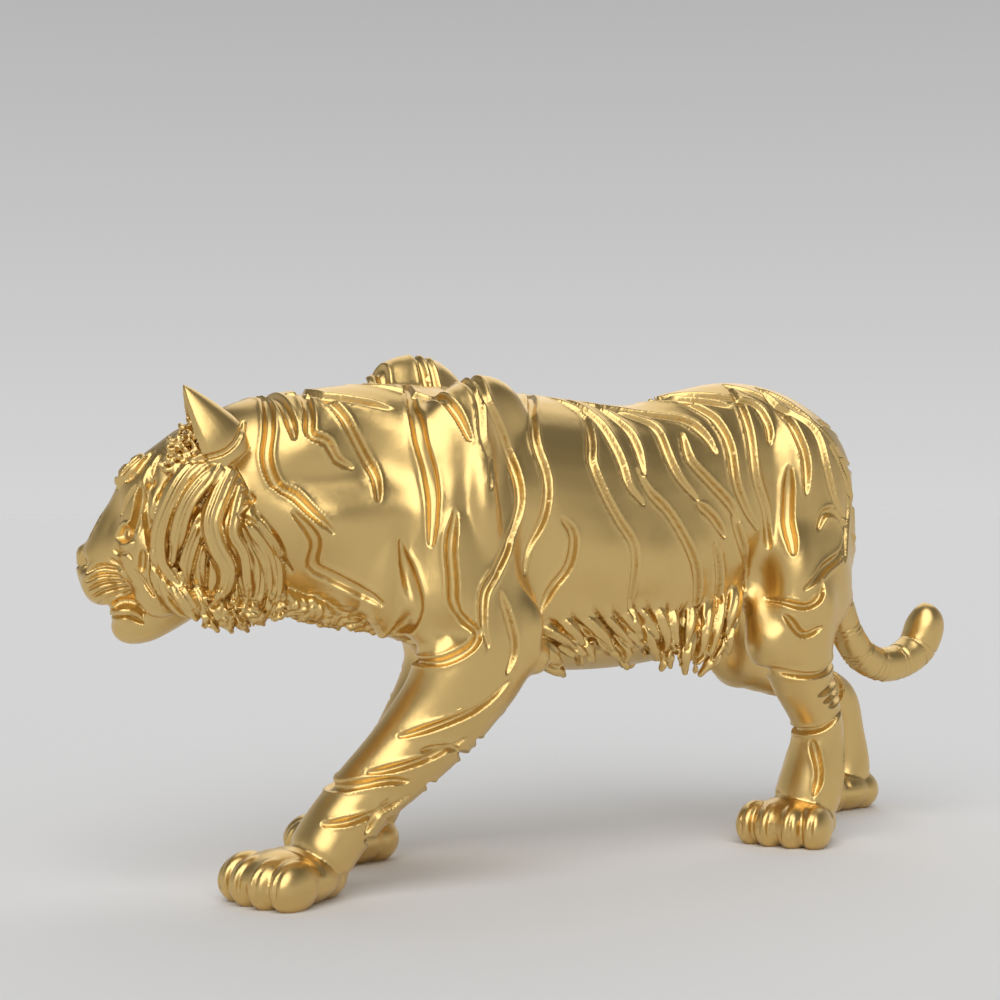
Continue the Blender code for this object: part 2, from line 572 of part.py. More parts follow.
def face_depth(points):
    """Depth of the mouth, whisker rows, brow furrows and eyes, in metres; points in metres."""
    local = turned(points - HEAD_AT, yaw=-HEAD_TURN) / HEAD
    flat = local[:, [0, 2]]
    depth = 0.0014 * furrow(flat, MOUTH, 1.3)
    for line in WHISKERS:
        depth = np.maximum(depth, 0.0006 * furrow(flat, line, 0.9) * (np.abs(local[:, 1]) > 2))
    for line in BROWS:
        depth = np.maximum(depth, 0.0009 * furrow(flat, line, 1.4) * (np.abs(local[:, 1]) > 5))
    local[:, 1] = np.abs(local[:, 1])
    socket = (local - EYE) / EYE_SIZE
    return depth + 0.0016 * np.exp(-(socket ** 2).sum(axis=1))


def press(item):
    """Push the stripes and the furrows of the face into the skin along its normals."""
    points = vertex_array(item.data.vertices, "co")
    normals = vertex_array(item.data.vertex_normals, "vector")
    depth = STRIPE_DEPTH * stripe_depth(points) ** 0.8 + face_depth(points)
    points -= normals * depth[:, None]
    item.data.vertices.foreach_set("co", points.astype(np.float32).ravel())
    item.data.update()


def facet(item):
    """Thin the skin to flat facets, few on the smooth flanks and many at the stripes."""
    triangles = sum(len(face.vertices) - 2 for face in item.data.polygons)
    thin = item.modifiers.new("facets", "DECIMATE")
    thin.ratio = min(1.0, FACETS / triangles)
    thin.use_collapse_triangulate = True
    return bake(item)


def drop_crumbs(mesh):
    """Delete every loose scrap that the thinning left, and keep the figure."""
    waiting = set(mesh.verts)
    groups = []
    while waiting:
        group, edge_of_group = set(), [waiting.pop()]
        while edge_of_group:
            spot = edge_of_group.pop()
            group.add(spot)
            near = {edge.other_vert(spot) for edge in spot.link_edges} & waiting
            waiting -= near
            edge_of_group += near
        groups.append(group)
    groups.sort(key=len)
    for group in groups[:-1]:
        bmesh.ops.delete(mesh, geom=list(group), context="VERTS")


def cut_soles(item):
    """Cut the paws flat on the floor and close each cut."""
    mesh = bmesh.new()
    mesh.from_mesh(item.data)
    everything = mesh.verts[:] + mesh.edges[:] + mesh.faces[:]
    bmesh.ops.bisect_plane(mesh, geom=everything, dist=FLOOR_SNAP, plane_co=(0, 0, 0), plane_no=(0, 0, -1),
                           clear_outer=True)
    bmesh.ops.holes_fill(mesh, edges=[edge for edge in mesh.edges if edge.is_boundary], sides=0)
    drop_crumbs(mesh)
    bmesh.ops.triangulate(mesh, faces=[face for face in mesh.faces if len(face.verts) > 3])
    for corner in mesh.verts:
        corner.co.z = 0.0 if corner.co.z < FLOOR_SNAP else corner.co.z
    bmesh.ops.recalc_face_normals(mesh, faces=mesh.faces)
    mesh.to_mesh(item.data)
    mesh.free()
    item.data.update()


def stand_over_origin(item):
    """Slide the figure so that the middle of its length and width is over the origin."""
    points = vertex_array(item.data.vertices, "co")
    middle = (points.min(axis=0) + points.max(axis=0)) / 2
    points[:, :2] -= middle[:2]
    item.data.vertices.foreach_set("co", points.astype(np.float32).ravel())
    item.data.update()


def gold_paint():
    """Gold metallic paint with a soft sheen."""
    paint = bpy.data.materials.new("gold_paint")
    paint.use_nodes = True
    shader = paint.node_tree.nodes["Principled BSDF"]
    shader.inputs["Base Color"].default_value = (0.62, 0.40, 0.13, 1)
    shader.inputs["Metallic"].default_value = 1.0
    shader.inputs["Roughness"].default_value = 0.34
    return paint


def sculpt():
    """The whole casting as one dense skin: soft masses first, then the sharper forms, then the furrows."""
    masses = [body_space(tube(TRUNK, upright=True, fullness=2.25))] + muscles() + head_masses()
    masses += [leg(rows, FORELEG_WIDTH, DRAWN_FORELEG) for rows in (LEFT_FORELEG, RIGHT_FORELEG)]
    masses += [leg(rows, HINDLEG_WIDTH, DRAWN_HINDLEG) for rows in (LEFT_HINDLEG, RIGHT_HINDLEG)] + [tail()]
    soft = fuse("masses", masses, COARSE_CELL, 20)
    forms = [form_of(soft)] + face_details() + ruff() + fringe() + chest_tufts() + elbow_tufts()
    for place in PAWS.values():
        forms += paw(*place)
    bpy.data.objects.remove(soft, do_unlink=True)
    skin = fuse("tiger", forms, FINE_CELL, 2)
    press(skin)
    return skin


def main():
    clear_scene()
    tiger = sculpt()
    facet(tiger)
    cut_soles(tiger)
    stand_over_origin(tiger)
    tiger.data.shade_smooth()
    tiger.data.materials.append(gold_paint())


main()
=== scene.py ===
"""Looks of the walking tiger figurine: one gold casting with furrowed stripes, a fur ruff and a fringe.

The casting is drawn in units of a millimetre, +X towards the head and +Y to the tiger's left, and
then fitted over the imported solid. It is worked like clay: tubes and egg shapes are fused into one
skin, softened, dressed with locks of fur, fused again, and furrowed along their normals.
"""

import math

import bmesh
import bpy
import numpy as np
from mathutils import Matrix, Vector


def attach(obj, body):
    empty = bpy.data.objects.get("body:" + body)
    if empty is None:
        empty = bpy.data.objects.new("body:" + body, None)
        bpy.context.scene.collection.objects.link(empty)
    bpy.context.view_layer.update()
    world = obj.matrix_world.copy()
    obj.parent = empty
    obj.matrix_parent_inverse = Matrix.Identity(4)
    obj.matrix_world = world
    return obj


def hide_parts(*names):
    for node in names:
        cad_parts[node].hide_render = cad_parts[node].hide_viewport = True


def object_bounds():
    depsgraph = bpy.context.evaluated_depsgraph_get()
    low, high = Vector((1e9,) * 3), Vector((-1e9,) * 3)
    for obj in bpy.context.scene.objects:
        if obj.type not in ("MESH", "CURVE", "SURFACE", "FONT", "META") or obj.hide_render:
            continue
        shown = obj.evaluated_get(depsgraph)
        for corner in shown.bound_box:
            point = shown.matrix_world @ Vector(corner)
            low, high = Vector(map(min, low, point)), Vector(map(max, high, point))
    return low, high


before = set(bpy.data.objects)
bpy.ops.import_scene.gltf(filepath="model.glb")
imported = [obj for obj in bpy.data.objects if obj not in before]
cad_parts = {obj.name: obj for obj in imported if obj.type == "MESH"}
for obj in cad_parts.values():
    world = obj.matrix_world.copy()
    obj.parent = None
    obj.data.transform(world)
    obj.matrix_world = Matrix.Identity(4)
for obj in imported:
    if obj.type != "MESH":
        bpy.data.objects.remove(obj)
cad_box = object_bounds()

# The drawing's length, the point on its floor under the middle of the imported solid, in drawn units
DRAWN_LENGTH = 271.6
DRAWN_MIDDLE = np.array([1.6, -4.1, 0.0])
SCALE = (cad_box[1][0] - cad_box[0][0]) / DRAWN_LENGTH

# Fineness of the clay in drawn units: the softened trunk, the skull, the dressed body and the dressed
# head. Then how many triangles the dressed body and head keep, and the points round a tube
SOFT_CELL = 1.0
HEAD_CELL = 0.7
BODY_CELL = 0.39
FACE_CELL = 0.29
BODY_TRIANGLES = 470000
HEAD_TRIANGLES = 240000
RING = 36

# How many times the trunk, the head and the dressed casting are softened
TRUNK_PASSES = 16
HEAD_PASSES = 5
DRESSED_PASSES = 2

# Where the casting is parted: behind the ruff, square to the turned head, and across the belly.
# The finer head is worked on a spare length of neck and laps over the cut; the cut behind the ruff
# stops at the shin, above the paw that stands in front of it.
NECK_PART = -27.0
NECK_SPARE = 12.0
NECK_LAP = 0.4
SHIN = 40.0
BELLY_PART = -6.0

# The stripes' furrows: half width, depth, the raised lip beside them as a share of the depth, and
# the half width on the legs and behind the thighs
STRIPE_HALF = 1.3
STRIPE_DEPTH = 1.55
STRIPE_LIP = 0.2
LEG_STRIPE_HALF = 1.0

# Stripes that start as high as SPINE_UP run on over the spine by SPINE_RUN. The rounded top of the
# back, above BACK_UP and within SPINE_HALF of the middle, is unrolled by a share so that they cross
# it at an even width. The stripes behind the thighs lie behind RUMP_AT.
SPINE_UP = 117.0
SPINE_HALF = 14.0
SPINE_SHARE = 0.7
SPINE_RUN = 18.0
BACK_UP = 100.0
RUMP_AT = -76.0

# Rings of the tail: how far apart, half width and depth, the height below which they lie, and how
# far back and to either side the tail is looked for
TAIL_RING = (8.5, 0.8, 0.45)
TAIL_RING_UP = 88.0
TAIL_FROM = -84.0
TAIL_REACH = 8.0

# A lock's body: how its girth runs from root to tip, and the ribs of a lock that isn't combed
LOCK_GIRTH = ((0, 0.3, 0.7, 1), (0.7, 1, 0.75, 0.15))
LOCK_RIB = 0.12
LOCK_TWIST = 1.5

# Combed fur: how a lock's width runs from root to tip, its dome, strands, and the groove beside it
LOCK_TAPER = ((0, 0.3, 0.7, 1), (0.7, 1, 0.8, 0.3))
FUR_DOME = 0.45
FUR_GROOVE = 1.2
FUR_GROOVE_WIDTH = 0.5
STRAND_HEIGHT = 0.26
STRAND_STEP = 1.35

# The head's own middle on the neck and how many degrees it is turned; a paw's size
HEAD_AT = np.array([114.3, -9.0, 92.0])
HEAD_TURN = -26.0
PAW_LENGTH, PAW_WIDTH, PAW_HEIGHT = 31.0, 26.0, 14.0

# Camera in drawn units, its direction and lens
CAMERA_AT = (308.4, 453.2, 97.0)
CAMERA_LOOK = (-0.53, -0.848, 0.0)
CAMERA_LENS = 72.0

# Suns: name, where they shine from, width in degrees, strength
SUNS = [("key", (0.55, 0.75, 1.0), 60, 1.8), ("back", (-0.7, -0.8, 1.1), 60, 0.8)]

# Sky: sine of the elevation and the grey there
SKY = ((0.0, 0.665), (0.65, 0.14))

# Trunk and neck, tail end first: along, out, up, half width, rise, fall
TRUNK = [
    (-93.5, 0, 100, 3, 5, 7), (-91, 0, 100, 9, 12, 13), (-86, 0, 100, 15, 19, 18),
    (-78, 0, 99, 19.5, 25.5, 22), (-66, 0, 97, 22, 32.3, 26), (-50, 0, 94, 22.5, 36.8, 30),
    (-32, 0, 88, 22.5, 39.6, 34), (-16, 0, 85.5, 23.5, 38.0, 34.5), (4, 0, 85, 25, 39.4, 34.5),
    (20, 0, 86, 26, 39.8, 34), (38, 0, 89, 26.5, 37.2, 34.5), (56, 0, 92, 24.5, 35, 31.5),
    (70, 0, 94, 22, 32.6, 29.5), (84, -1, 95, 20, 29.8, 25), (95, -3.5, 96, 18.5, 27, 23),
    (104, -6, 96.5, 16.5, 23, 20), (112, -9, 96, 11, 15, 15),
]

# Legs, from inside the body down to the ankle: along, out, up, half width, front, back
LEFT_FORELEG = [
    (52, 18, 92, 9, 14, 14), (50, 21.5, 72, 11, 17, 18), (48.5, 23, 59.5, 11.5, 16.5, 17.5),
    (53.5, 22.5, 48.5, 10.8, 12.5, 14), (60, 20.5, 40, 10.2, 10.7, 12.2), (67.7, 19, 32, 9.6, 9.4, 10.5),
    (75.5, 17.5, 24.5, 9, 8.6, 9.2), (82.5, 16.5, 16.5, 9, 8.4, 8.6), (87.5, 16, 9.5, 9.6, 8.2, 8.2),
]
RIGHT_FORELEG = [
    (38, -17, 92, 9, 14, 14), (28, -22, 72, 10.5, 15, 16), (25, -25, 58, 11, 13, 15),
    (30, -26, 46, 10, 10.5, 12), (38, -26, 34, 9, 9, 9.6), (45.5, -26, 23, 8.4, 8.2, 8.4),
    (51.5, -26, 12, 8.8, 8.4, 8),
]
LEFT_HINDLEG = [
    (-66, 15, 92, 10, 18, 18), (-60.5, 19, 72, 10.5, 15, 20), (-59, 20, 60, 10, 11, 15),
    (-63, 19, 48, 8.7, 9.2, 10), (-69, 17.5, 38, 7.6, 7.6, 8), (-71.5, 16.5, 32, 7.2, 7.2, 7.7),
    (-71.5, 16, 24, 8.2, 8.2, 8), (-70, 15.5, 16, 9.2, 9.2, 8.8), (-68, 15, 10, 9.5, 9.2, 9.2),
]
RIGHT_HINDLEG = [
    (-68, -16, 90, 10, 18, 18), (-70, -19, 68, 10.5, 16, 18), (-75, -21, 52, 9.5, 11, 12),
    (-88, -22.5, 45, 8, 8, 8.5), (-103, -24.5, 40, 6.8, 6.8, 7.2), (-114.5, -25, 34.5, 6.8, 6.8, 7.2),
    (-118.5, -25.5, 24, 6.6, 6.8, 6.8), (-120, -26, 14, 8, 8, 7.6), (-119, -26, 9, 8.6, 8.6, 8),
]

# Tail: along, out, up, half thickness
TAIL = [
    (-78, 0, 112, 6), (-86, 0, 106, 6.4), (-90.5, 0, 94, 6), (-91.5, 0, 78, 5.4), (-95, 0, 62, 5.1),
    (-103, 0, 50.5, 5.1), (-114, 0, 47, 5.4), (-125, 0, 51, 5.9), (-128.5, 0.5, 58, 6.2),
    (-128.5, 1, 61.5, 5.3), (-128, 1.2, 64.5, 3),
]

# Muscles under the coat: centre, half sizes, pitch in degrees
MUSCLES = [
    ((39, 13, 115.5), (14, 7.5, 14), 0), ((45, -12, 115.5), (19, 8.5, 20.6), 0),
    ((58, -9, 113), (19, 9, 14), -12), ((27, -10.5, 112), (24, 8, 16.5), 6),
    ((50, 16, 98), (18, 10.5, 30), -18), ((46, 19.5, 70), (20, 10.5, 18), -20),
    ((40, -16, 98), (17, 10.5, 30), -8), ((30, -20, 70), (16, 10, 17), 0),
    ((-66, 14.5, 92), (20, 11.5, 30), 8), ((-59, 18.5, 66), (15, 10, 19), 0),
    ((-52, 20, 58), (8, 8, 9), 0), ((-68, -15, 90), (20, 11.5, 30), -5),
    ((-72, -19, 62), (16, 10, 21), 0), ((-73, -21, 49), (9, 8.5, 9), 0),
]

# Folds of the coat: along, out, up, half width, front, back
RIDGES = [
    [(50, 13, 121, 3, 3, 3), (47, 20, 111, 5, 5, 5), (47, 24, 96, 5, 5, 5), (46, 26, 82, 4, 4, 4)],
    [(61, 15, 104, 4, 3, 3), (68, 17.5, 88, 5, 4.5, 4.5), (69, 15.5, 73, 5, 4.5, 4.5),
     (66, 13.5, 63, 4, 3, 3)],
    [(41, 20, 90, 5, 4, 4), (38.5, 23, 76, 5, 4.5, 4.5), (34.5, 24, 64, 4.6, 4.2, 4.2),
     (30.5, 23.5, 55.5, 4.4, 4, 4)],
]

# Furrows of the left foreleg and hind leg: along and up
LEFT_LEG_STRIPES = [
    [(70.5, 39.3), (58.3, 43.1), (50.5, 46.4), (43, 52)],
    [(78, 30.8), (69.2, 32.5), (63, 34.2), (54, 38)],
    [(86.5, 26.4), (80.5, 28), (74.4, 28.8), (68.8, 28.3)],
    [(89, 18.8), (81, 19.9), (73.8, 21.9), (67.7, 24.6)],
    [(66, 35.8), (60, 36.2), (55.5, 35.4)], [(41.5, 33), (45.2, 35.3), (49.5, 37.6)],
    [(46.5, 29.8), (50.4, 32.6), (55, 34.6)], [(54, 22.6), (58, 25.4), (62.5, 27)],
    [(64, 14.6), (68.4, 17.8), (72.5, 19)], [(71.5, 10.6), (75.4, 13.4), (79, 14.4)],
    [(79, 16), (77, 20), (74, 24)],
    [(58, 71), (55, 67), (52.3, 64.5), (54, 61), (60, 57.5), (66, 57)],
    [(-49, 69.4), (-55, 67.6), (-59.2, 69.6), (-61, 74.5)], [(-50.6, 65.3), (-55, 59.9), (-61, 61.8)],
    [(-48, 50.6), (-57.4, 48.2), (-65.7, 49.3), (-72.3, 53.5), (-70.4, 59.5)], [(-49, 45.8), (-57, 40.2)],
    [(-63.5, 42.2), (-75, 48)], [(-66, 40.2), (-75.5, 45.1)], [(-68.3, 38.8), (-76, 42.6)],
    [(-53.5, 37.2), (-58.5, 32.6), (-65.7, 31.9), (-74.8, 37.2)], [(-58.3, 31), (-56.4, 22), (-53.6, 13.4)],
    [(-77.5, 29), (-75.2, 18.9), (-76.6, 10)], [(-66, 29), (-66.5, 20), (-64.5, 14)],
]

# Toes of a paw: how far out, how far forward and how wide, as shares of the paw's half sizes; then
# the toes' shares of its length and height, how far they dip and fan out in degrees
TOES = ((-0.68, 0.40, 0.37), (-0.24, 0.50, 0.36), (0.24, 0.50, 0.36), (0.68, 0.40, 0.38))
TOE_LONG, TOE_TALL, TOE_UP = 0.5, 0.92, 0.78
TOE_PITCH = 8
TOE_SPREAD = 14

# Pad and heel of a paw: centre and half sizes, as shares of its half length, half width, half height
PAW_MASSES = (((0.04, 0, 0.84), (0.86, 0.94, 1.04)), ((-0.5, 0, 0.8), (0.5, 0.68, 0.96)))

# Claw slits, two to a toe: half width, half height, depth, and their places as shares of the paw
CLAW_SLIT = 0.55
CLAW_TALL = 3.4
CLAW_DEPTH = 0.9
CLAW_ASIDE = 0.32
CLAW_UP = 0.42
CLAW_FROM = 0.62

# Crease behind the knuckles: half width, depth, its place forward and up, and how it bows back
KNUCKLE_HALF = 0.9
KNUCKLE_DEPTH = 0.4
KNUCKLE_AT = 0.1
KNUCKLE_UP = 0.55
KNUCKLE_BOW = 0.012

# Paws, by the leg that each ends: centre along and out, heading in degrees
PAWS = {
    "left_fore": (95, 16, 14), "right_fore": (59, -25.5, -8),
    "left_hind": (-63.5, 15.5, 28), "right_hind": (-115, -27, -14),
}

# Skull and jaw in the head's own units: forward, out, up, half width, rise, fall
SKULL = [
    (-15, 0, 4, 12, 15, 16), (-8, 0, 4, 15.5, 18.8, 18), (-2, 0, 3, 16, 20.3, 20), (4, 0, 1, 15, 18.3, 20),
    (9, 0, -1, 13, 16.3, 19.5), (12.3, 0, -3, 11.3, 15, 17.5), (14.3, 0, -5, 10, 13.2, 15.5),
    (16, 0, -7, 9.2, 11.6, 13.8), (18.4, 0, -9, 8, 10, 12), (21.2, 0, -10.5, 6.5, 6, 9),
    (23, 0, -11, 4, 2.5, 5),
]
JAW = [
    (-8, 0, -14, 11, 8, 8), (0, 0, -19, 9.5, 6, 8), (6, 0, -23, 7.5, 3.5, 7), (11, 0, -25.5, 6, 3, 5),
    (14.4, 0, -26, 4, 1.5, 3),
]
CHEEK = [
    (-9, 11, 15, 3, 5, 5), (-9, 12.5, 8, 4.5, 9, 9), (-9, 13, 0, 5, 12, 12), (-10, 13, -9, 5, 11.5, 12.5),
    (-12, 12.5, -17, 4.5, 10, 12), (-15, 12, -22, 3.5, 6.5, 9), (-17, 11.5, -25, 2, 3, 5),
]

# Ruff locks on the left cheek: width, flatness, lift off the cheek, then forward and up from root to tip
RUFF = [
    (8.5, 0.7, -0.4, [(-8.8, 14.4), (-4.5, 10), (-1.1, 3.8), (1.5, -3.4), (1.3, -9.6), (-1.8, -14.9)]),
    (5.2, 0.8, 0.9, [(-11.7, 12.5), (-8.4, 10), (-5, 5.7), (-3, 1.4), (-1.8, -3.4), (-0.6, -9.6)]),
    (4.8, 0.9, -1.0, [(-13.7, 13.9), (-10.8, 8.1), (-8.8, 2.4), (-5.9, -2.9), (-4, -8.2), (-3.3, -13.5),
                      (-4.5, -18.7)]),
    (4.4, 1.0, -2.0, [(-8.8, -2.4), (-6.9, -7.2), (-6.4, -12), (-7.4, -17.5)]),
    (5.4, 0.9, 1.0, [(-14.1, 12), (-11.2, 5.3), (-9.6, -0.5), (-11, -6.3), (-13.4, -11.1), (-12.9, -15.8),
                     (-10, -19.7)]),
    (4.8, 1.0, -1.3, [(-15.6, 10), (-13.2, 3.3), (-12.2, -2.4), (-14.1, -8.2), (-15.6, -13.9),
                      (-15.1, -19.2), (-12.7, -22.6)]),
    (4.4, 1.0, 0.5, [(-16.3, 8.1), (-14.6, 1.4), (-14.1, -3.4), (-16.6, -8.2), (-17.3, -13.9),
                     (-18, -18.2), (-16.6, -22.6)]),
    (6.4, 0.8, -0.8, [(-17, 4.3), (-18, -1.5), (-20.4, -6.3), (-21.9, -12), (-21.4, -17.8), (-19.4, -22.6)]),
    (5.6, 0.9, 0.4, [(-18, 1.4), (-20.9, -3.4), (-23.8, -8.2), (-24.8, -13.9), (-24.3, -18.7),
                     (-21.9, -23.5)]),
    (5.6, 0.8, -0.6, [(2.6, -6.3), (1.8, -12.5), (0.3, -17.3), (-2.6, -21.1), (-6.4, -23.5)]),
    (5.0, 1.0, 0.2, [(-0.6, -15), (-3.5, -19), (-5.9, -23.6)]),
    (5.0, 1.0, -0.6, [(-4.5, -16), (-7.9, -21), (-10.8, -26.5)]),
    (4.6, 1.0, 0.3, [(-9.3, -18.5), (-12, -22.5), (-14.2, -26.8)]),
    (4.6, 1.0, -0.6, [(-13.2, -19.7), (-15.6, -23.5), (-18, -26.8)]),
    (4.6, 1.0, 0.4, [(-17, -20.2), (-20, -23), (-22, -25.6)]),
    (4.4, 1.0, -0.4, [(-20.5, -19.2), (-23.3, -22), (-25.4, -24)]),
    (4.4, 1.0, 0.2, [(-23, -16), (-25.6, -18.4), (-27, -21)]),
]

# Small curls at the ragged end of the ruff and before the ear: how many, and the corners they fill
RUFF_CURLS = (26, (-25, -24.5), (-7, -18))
BROW_CURLS = (30, (-7.5, 12.5), (2.5, 25))

# A curl: how far round it runs, the points of its path, how its circle shrinks and rises, its bead
CURL_ROUND = 1.8 * math.pi
CURL_ROWS = 14
CURL_SHRINK = (1.1, 0.7)
CURL_RISE = 0.5
CURL_BEAD = 0.52

# How much further round each curl starts than the one before it, and the spacing of scattered spots
CURL_STEP = 2.4
GOLDEN_SHARE = 0.618034

# The ruff's skin: how far out its crown lies, the crown's forward and up, the fall to either side,
# and how deep a lock's root and its whole length are sunk
RUFF_CROWN = 21.2
RUFF_CROWN_AT = (-8, -3)
RUFF_FALL = (0.035, 0.010)
RUFF_LEAST = 9.0
RUFF_ROOT = 0.3
RUFF_SUNK = 0.9

# The brow's curls: how they lean back with height, and how far out the skin lies under them
BROW_LEAN = 0.6
BROW_LOW = 15
BROW_OUT = 15.5
BROW_FALL = (0.012, 0.42)

# Furrows of the face: half width, depth, then forward and up in the head's units
FACE_FURROWS = [
    (0.6, 1.0, [(13.3, 1.5), (11.9, 3.9), (10.3, 6.3), (8.7, 8.5)]),
    (1.2, 2.3, [(10.8, -3.1), (9.2, -1.2), (8.4, 1.5), (7.8, 5), (7.3, 8.5)]),
    (0.8, 1.4, [(5.5, -5.6), (5.7, -1.8), (6.1, 1.5), (6.2, 4.7), (5.7, 8), (4.9, 9.6)]),
    (0.5, 0.7, [(12.6, 11), (10.6, 13.4), (8.4, 15.3), (6, 17.5)]),
    (0.7, 0.9, [(11.4, 9.6), (8.9, 11.7), (7, 14.4), (4.6, 17)]),
    (0.6, 0.8, [(4.8, 10.8), (4, 13.9), (2.9, 15.8)]),
    (0.9, 1.2, [(6.8, -7), (7, -9.9), (7.3, -12.3)]),
    (0.8, 1.0, [(-17, 24), (-16.2, 20.3), (-13.6, 17), (-9.3, 15.2), (-3, 14)]),
    (0.5, 0.8, [(15.2, -9), (13, -10.9), (11.1, -13.4), (9.9, -14.6)]),
    (0.5, 0.7, [(8.9, -11.8), (7, -13.9), (5.7, -15.8), (4, -18)]),
    (0.45, 0.6, [(14.3, -6.7), (13, -8), (10.8, -7.7), (9.3, -9.2)]),
    (0.9, 1.0, [(14.8, -21.4), (12.7, -19.8), (10, -19.9), (7.9, -21), (6.9, -22.4)]),
    (0.5, 1.5, [(15.5, -23.4), (13.6, -23.7), (11.1, -23.6), (8.9, -24.2), (7.2, -25.1)]),
    (0.6, 1.1, [(21, -12.8), (19, -11.3), (16, -10.9), (12.6, -12)]),
    (0.6, 1.1, [(21, -14.8), (18.4, -13.3), (15.6, -12.9), (12.2, -13.8)]),
    (0.6, 1.1, [(20.6, -16.8), (17.9, -15.4), (15.2, -14.7), (11.8, -15)]),
    (0.6, 1.1, [(19.6, -18.7), (16.9, -17.3), (14.3, -16.4), (11, -16)]),
    (0.6, 1.1, [(18.2, -20.4), (15.7, -19.3), (13.2, -18), (10.6, -17)]),
    (0.8, 1.1, [(-17, 7.2), (-19.4, 5.3), (-16.5, 1.4), (-20.9, -1.5), (-25.7, -8.2), (-28.6, -12.5)]),
]

# Ridges of the face, in the same way
FACE_RIDGES = [
    (1.0, 0.6, [(8.3, -4), (7.3, 0.4), (6.9, 5.3), (6.9, 9.9), (5.6, 13.2)]),
    (0.8, 0.7, [(14.4, -22.5), (12, -22.1), (9.5, -22.3), (7.6, -23.8)]),
    (1.4, 0.8, [(4.4, -7), (4.6, -12), (4.2, -17), (2.8, -20)]),
    (0.8, 0.8, [(14, -4), (12.6, -1.3), (10.4, -0.8), (8.8, -3)]),
    (0.7, 0.6, [(14, -4.2), (12, -5.9), (9.2, -5.2)]),
]

# Furrows of the front of the face: half width, depth, then out and up
FRONT_FURROWS = [
    (0.6, 0.8, [(1.6, 13), (4.5, 14.6), (7, 14.2)]), (0.6, 0.8, [(1.6, 9.6), (4.2, 11.4), (6.8, 11)]),
    (0.6, 0.8, [(1.4, 6.4), (3.6, 8.2), (6, 7.6)]), (0.5, 0.7, [(2.2, 2), (3.6, -0.5), (4, -4)]),
    (0.5, 0.9, [(0, -11), (0, -16.5)]), (0.5, 0.9, [(0, -10.9), (2.2, -11.3), (3.8, -9.6), (3.4, -7.2)]),
]

# Hollows of the face on the left, and the eye that stands in one (its depth is negative): centre,
# half sizes, depth
FACE_HOLLOWS = [
    ((11.0, 10.5, -3.3), (1.8, 3.0, 1.8), 3.4), ((22.0, 4.3, -10.9), (1.2, 2.2, 1.6), 3.0),
    ((4.9, 15.0, 9.4), (1.0, 4.0, 1.3), 1.0), ((11.2, 10.5, -3.2), (0.9, 3.0, 0.9), -2.2),
    ((14.5, 8.5, 1.0), (4.0, 3.0, 6.0), 1.6),
]

# Nose and chin, the ball of each cheek, then the masses of the face's left: centre, half sizes, pitch
NOSE = ((22.2, 0, -8.6), (2, 3.4, 2.8))
CHIN = ((10.5, 0, -26), (5.2, 5.5, 4.6))
CHEEK_BALL = ((4, 10, -8), (9, 6, 10), 0)
FACE_MASSES = [
    ((16.8, 4.6, -14.6), (5.8, 5.0, 6.0), 0), ((10.4, 4.8, 12.6), (2.1, 3.6, 5.6), -46),
    ((11.2, 8.6, 2.0), (1.9, 2.6, 5.2), -17), ((4.3, 14.0, 2.8), (1.6, 2.6, 4.6), -8),
    ((7.5, 11.5, -8.5), (4.6, 3.4, 5.0), 0),
    ((11.5, 3.5, -22.3), (4.3, 4.6, 3.2), 10), ((3.0, 9.5, -17.0), (6.5, 5.5, 6.5), 0),
]

# Belly fringe on the left, front to rear: root along, out, up, then how far a lock sweeps and drops
FRINGE = [
    (28, 20, 60, -7, 6), (19, 20, 64, -9, 8.5), (10, 20, 65.5, -9, 10), (0, 20, 66, -8, 10.5),
    (-9, 20, 66.5, -5, 11), (-18, 19.5, 65.5, 0, 10.5), (-28, 19.5, 65.5, 4, 14), (-36, 19.5, 69, 6, 15.5),
    (-43, 18.5, 70, 3, 12.5),
]

# The fringe's rows: shift out and up, number of locks, their width, a number that varies them
FRINGE_ROWS = ((-2.0, -2.5, 13, 5.8, 1), (0.0, 0.0, 17, 5.0, 0), (0.6, 3.2, 12, 4.4, 2))

# A fringe lock's path: shares of its sweep and its bow, how far out, share of its drop
FRINGE_PATH = ((-0.3, 0, -5, 0.4), (-0.05, 0, -3, 0.05), (0.35, 1, -0.7, -0.35), (0.75, 1, 0, -0.72),
               (1, 0, -1.2, -1))

# Where the fringe is combed: rear, front and top; the bare share of a lock and its strands' coarseness
FRINGE_BOX = (-52.0, 36.0, 80.0)
FRINGE_BARE = 0.25
FRINGE_COARSE = 1.4

# Throat, and the first and last root of the ragged fur under the neck, and how many tufts it has
THROAT = ((99, -2, 78), (10, 12, 8))
CHEST_ROOTS = [(69, 9.5, 66.5), (100, 7.5, 74)]
CHEST_TUFTS = 15

# A tuft's path from its root: the buried start, then the points that its length stretches
CHEST_START = (1.5, -0.6, 2.2)
CHEST_PATH = ((-2.2, 0.2, -2.0), (-4.6, -0.8, -3.2))

# Tufts behind each elbow: how many, the height they start below, where they root, path and width
ELBOW_TUFTS = 3
ELBOW_UP = 60.0
ELBOW_STEP = 11
ELBOW_ROOT = np.array([-0.66, 0, -0.6])
ELBOW_PATH = ((2.4, 0, 4), (0.2, 0, 0), (1.0, 0, -3.4))
ELBOW_WIDTH = 4.6

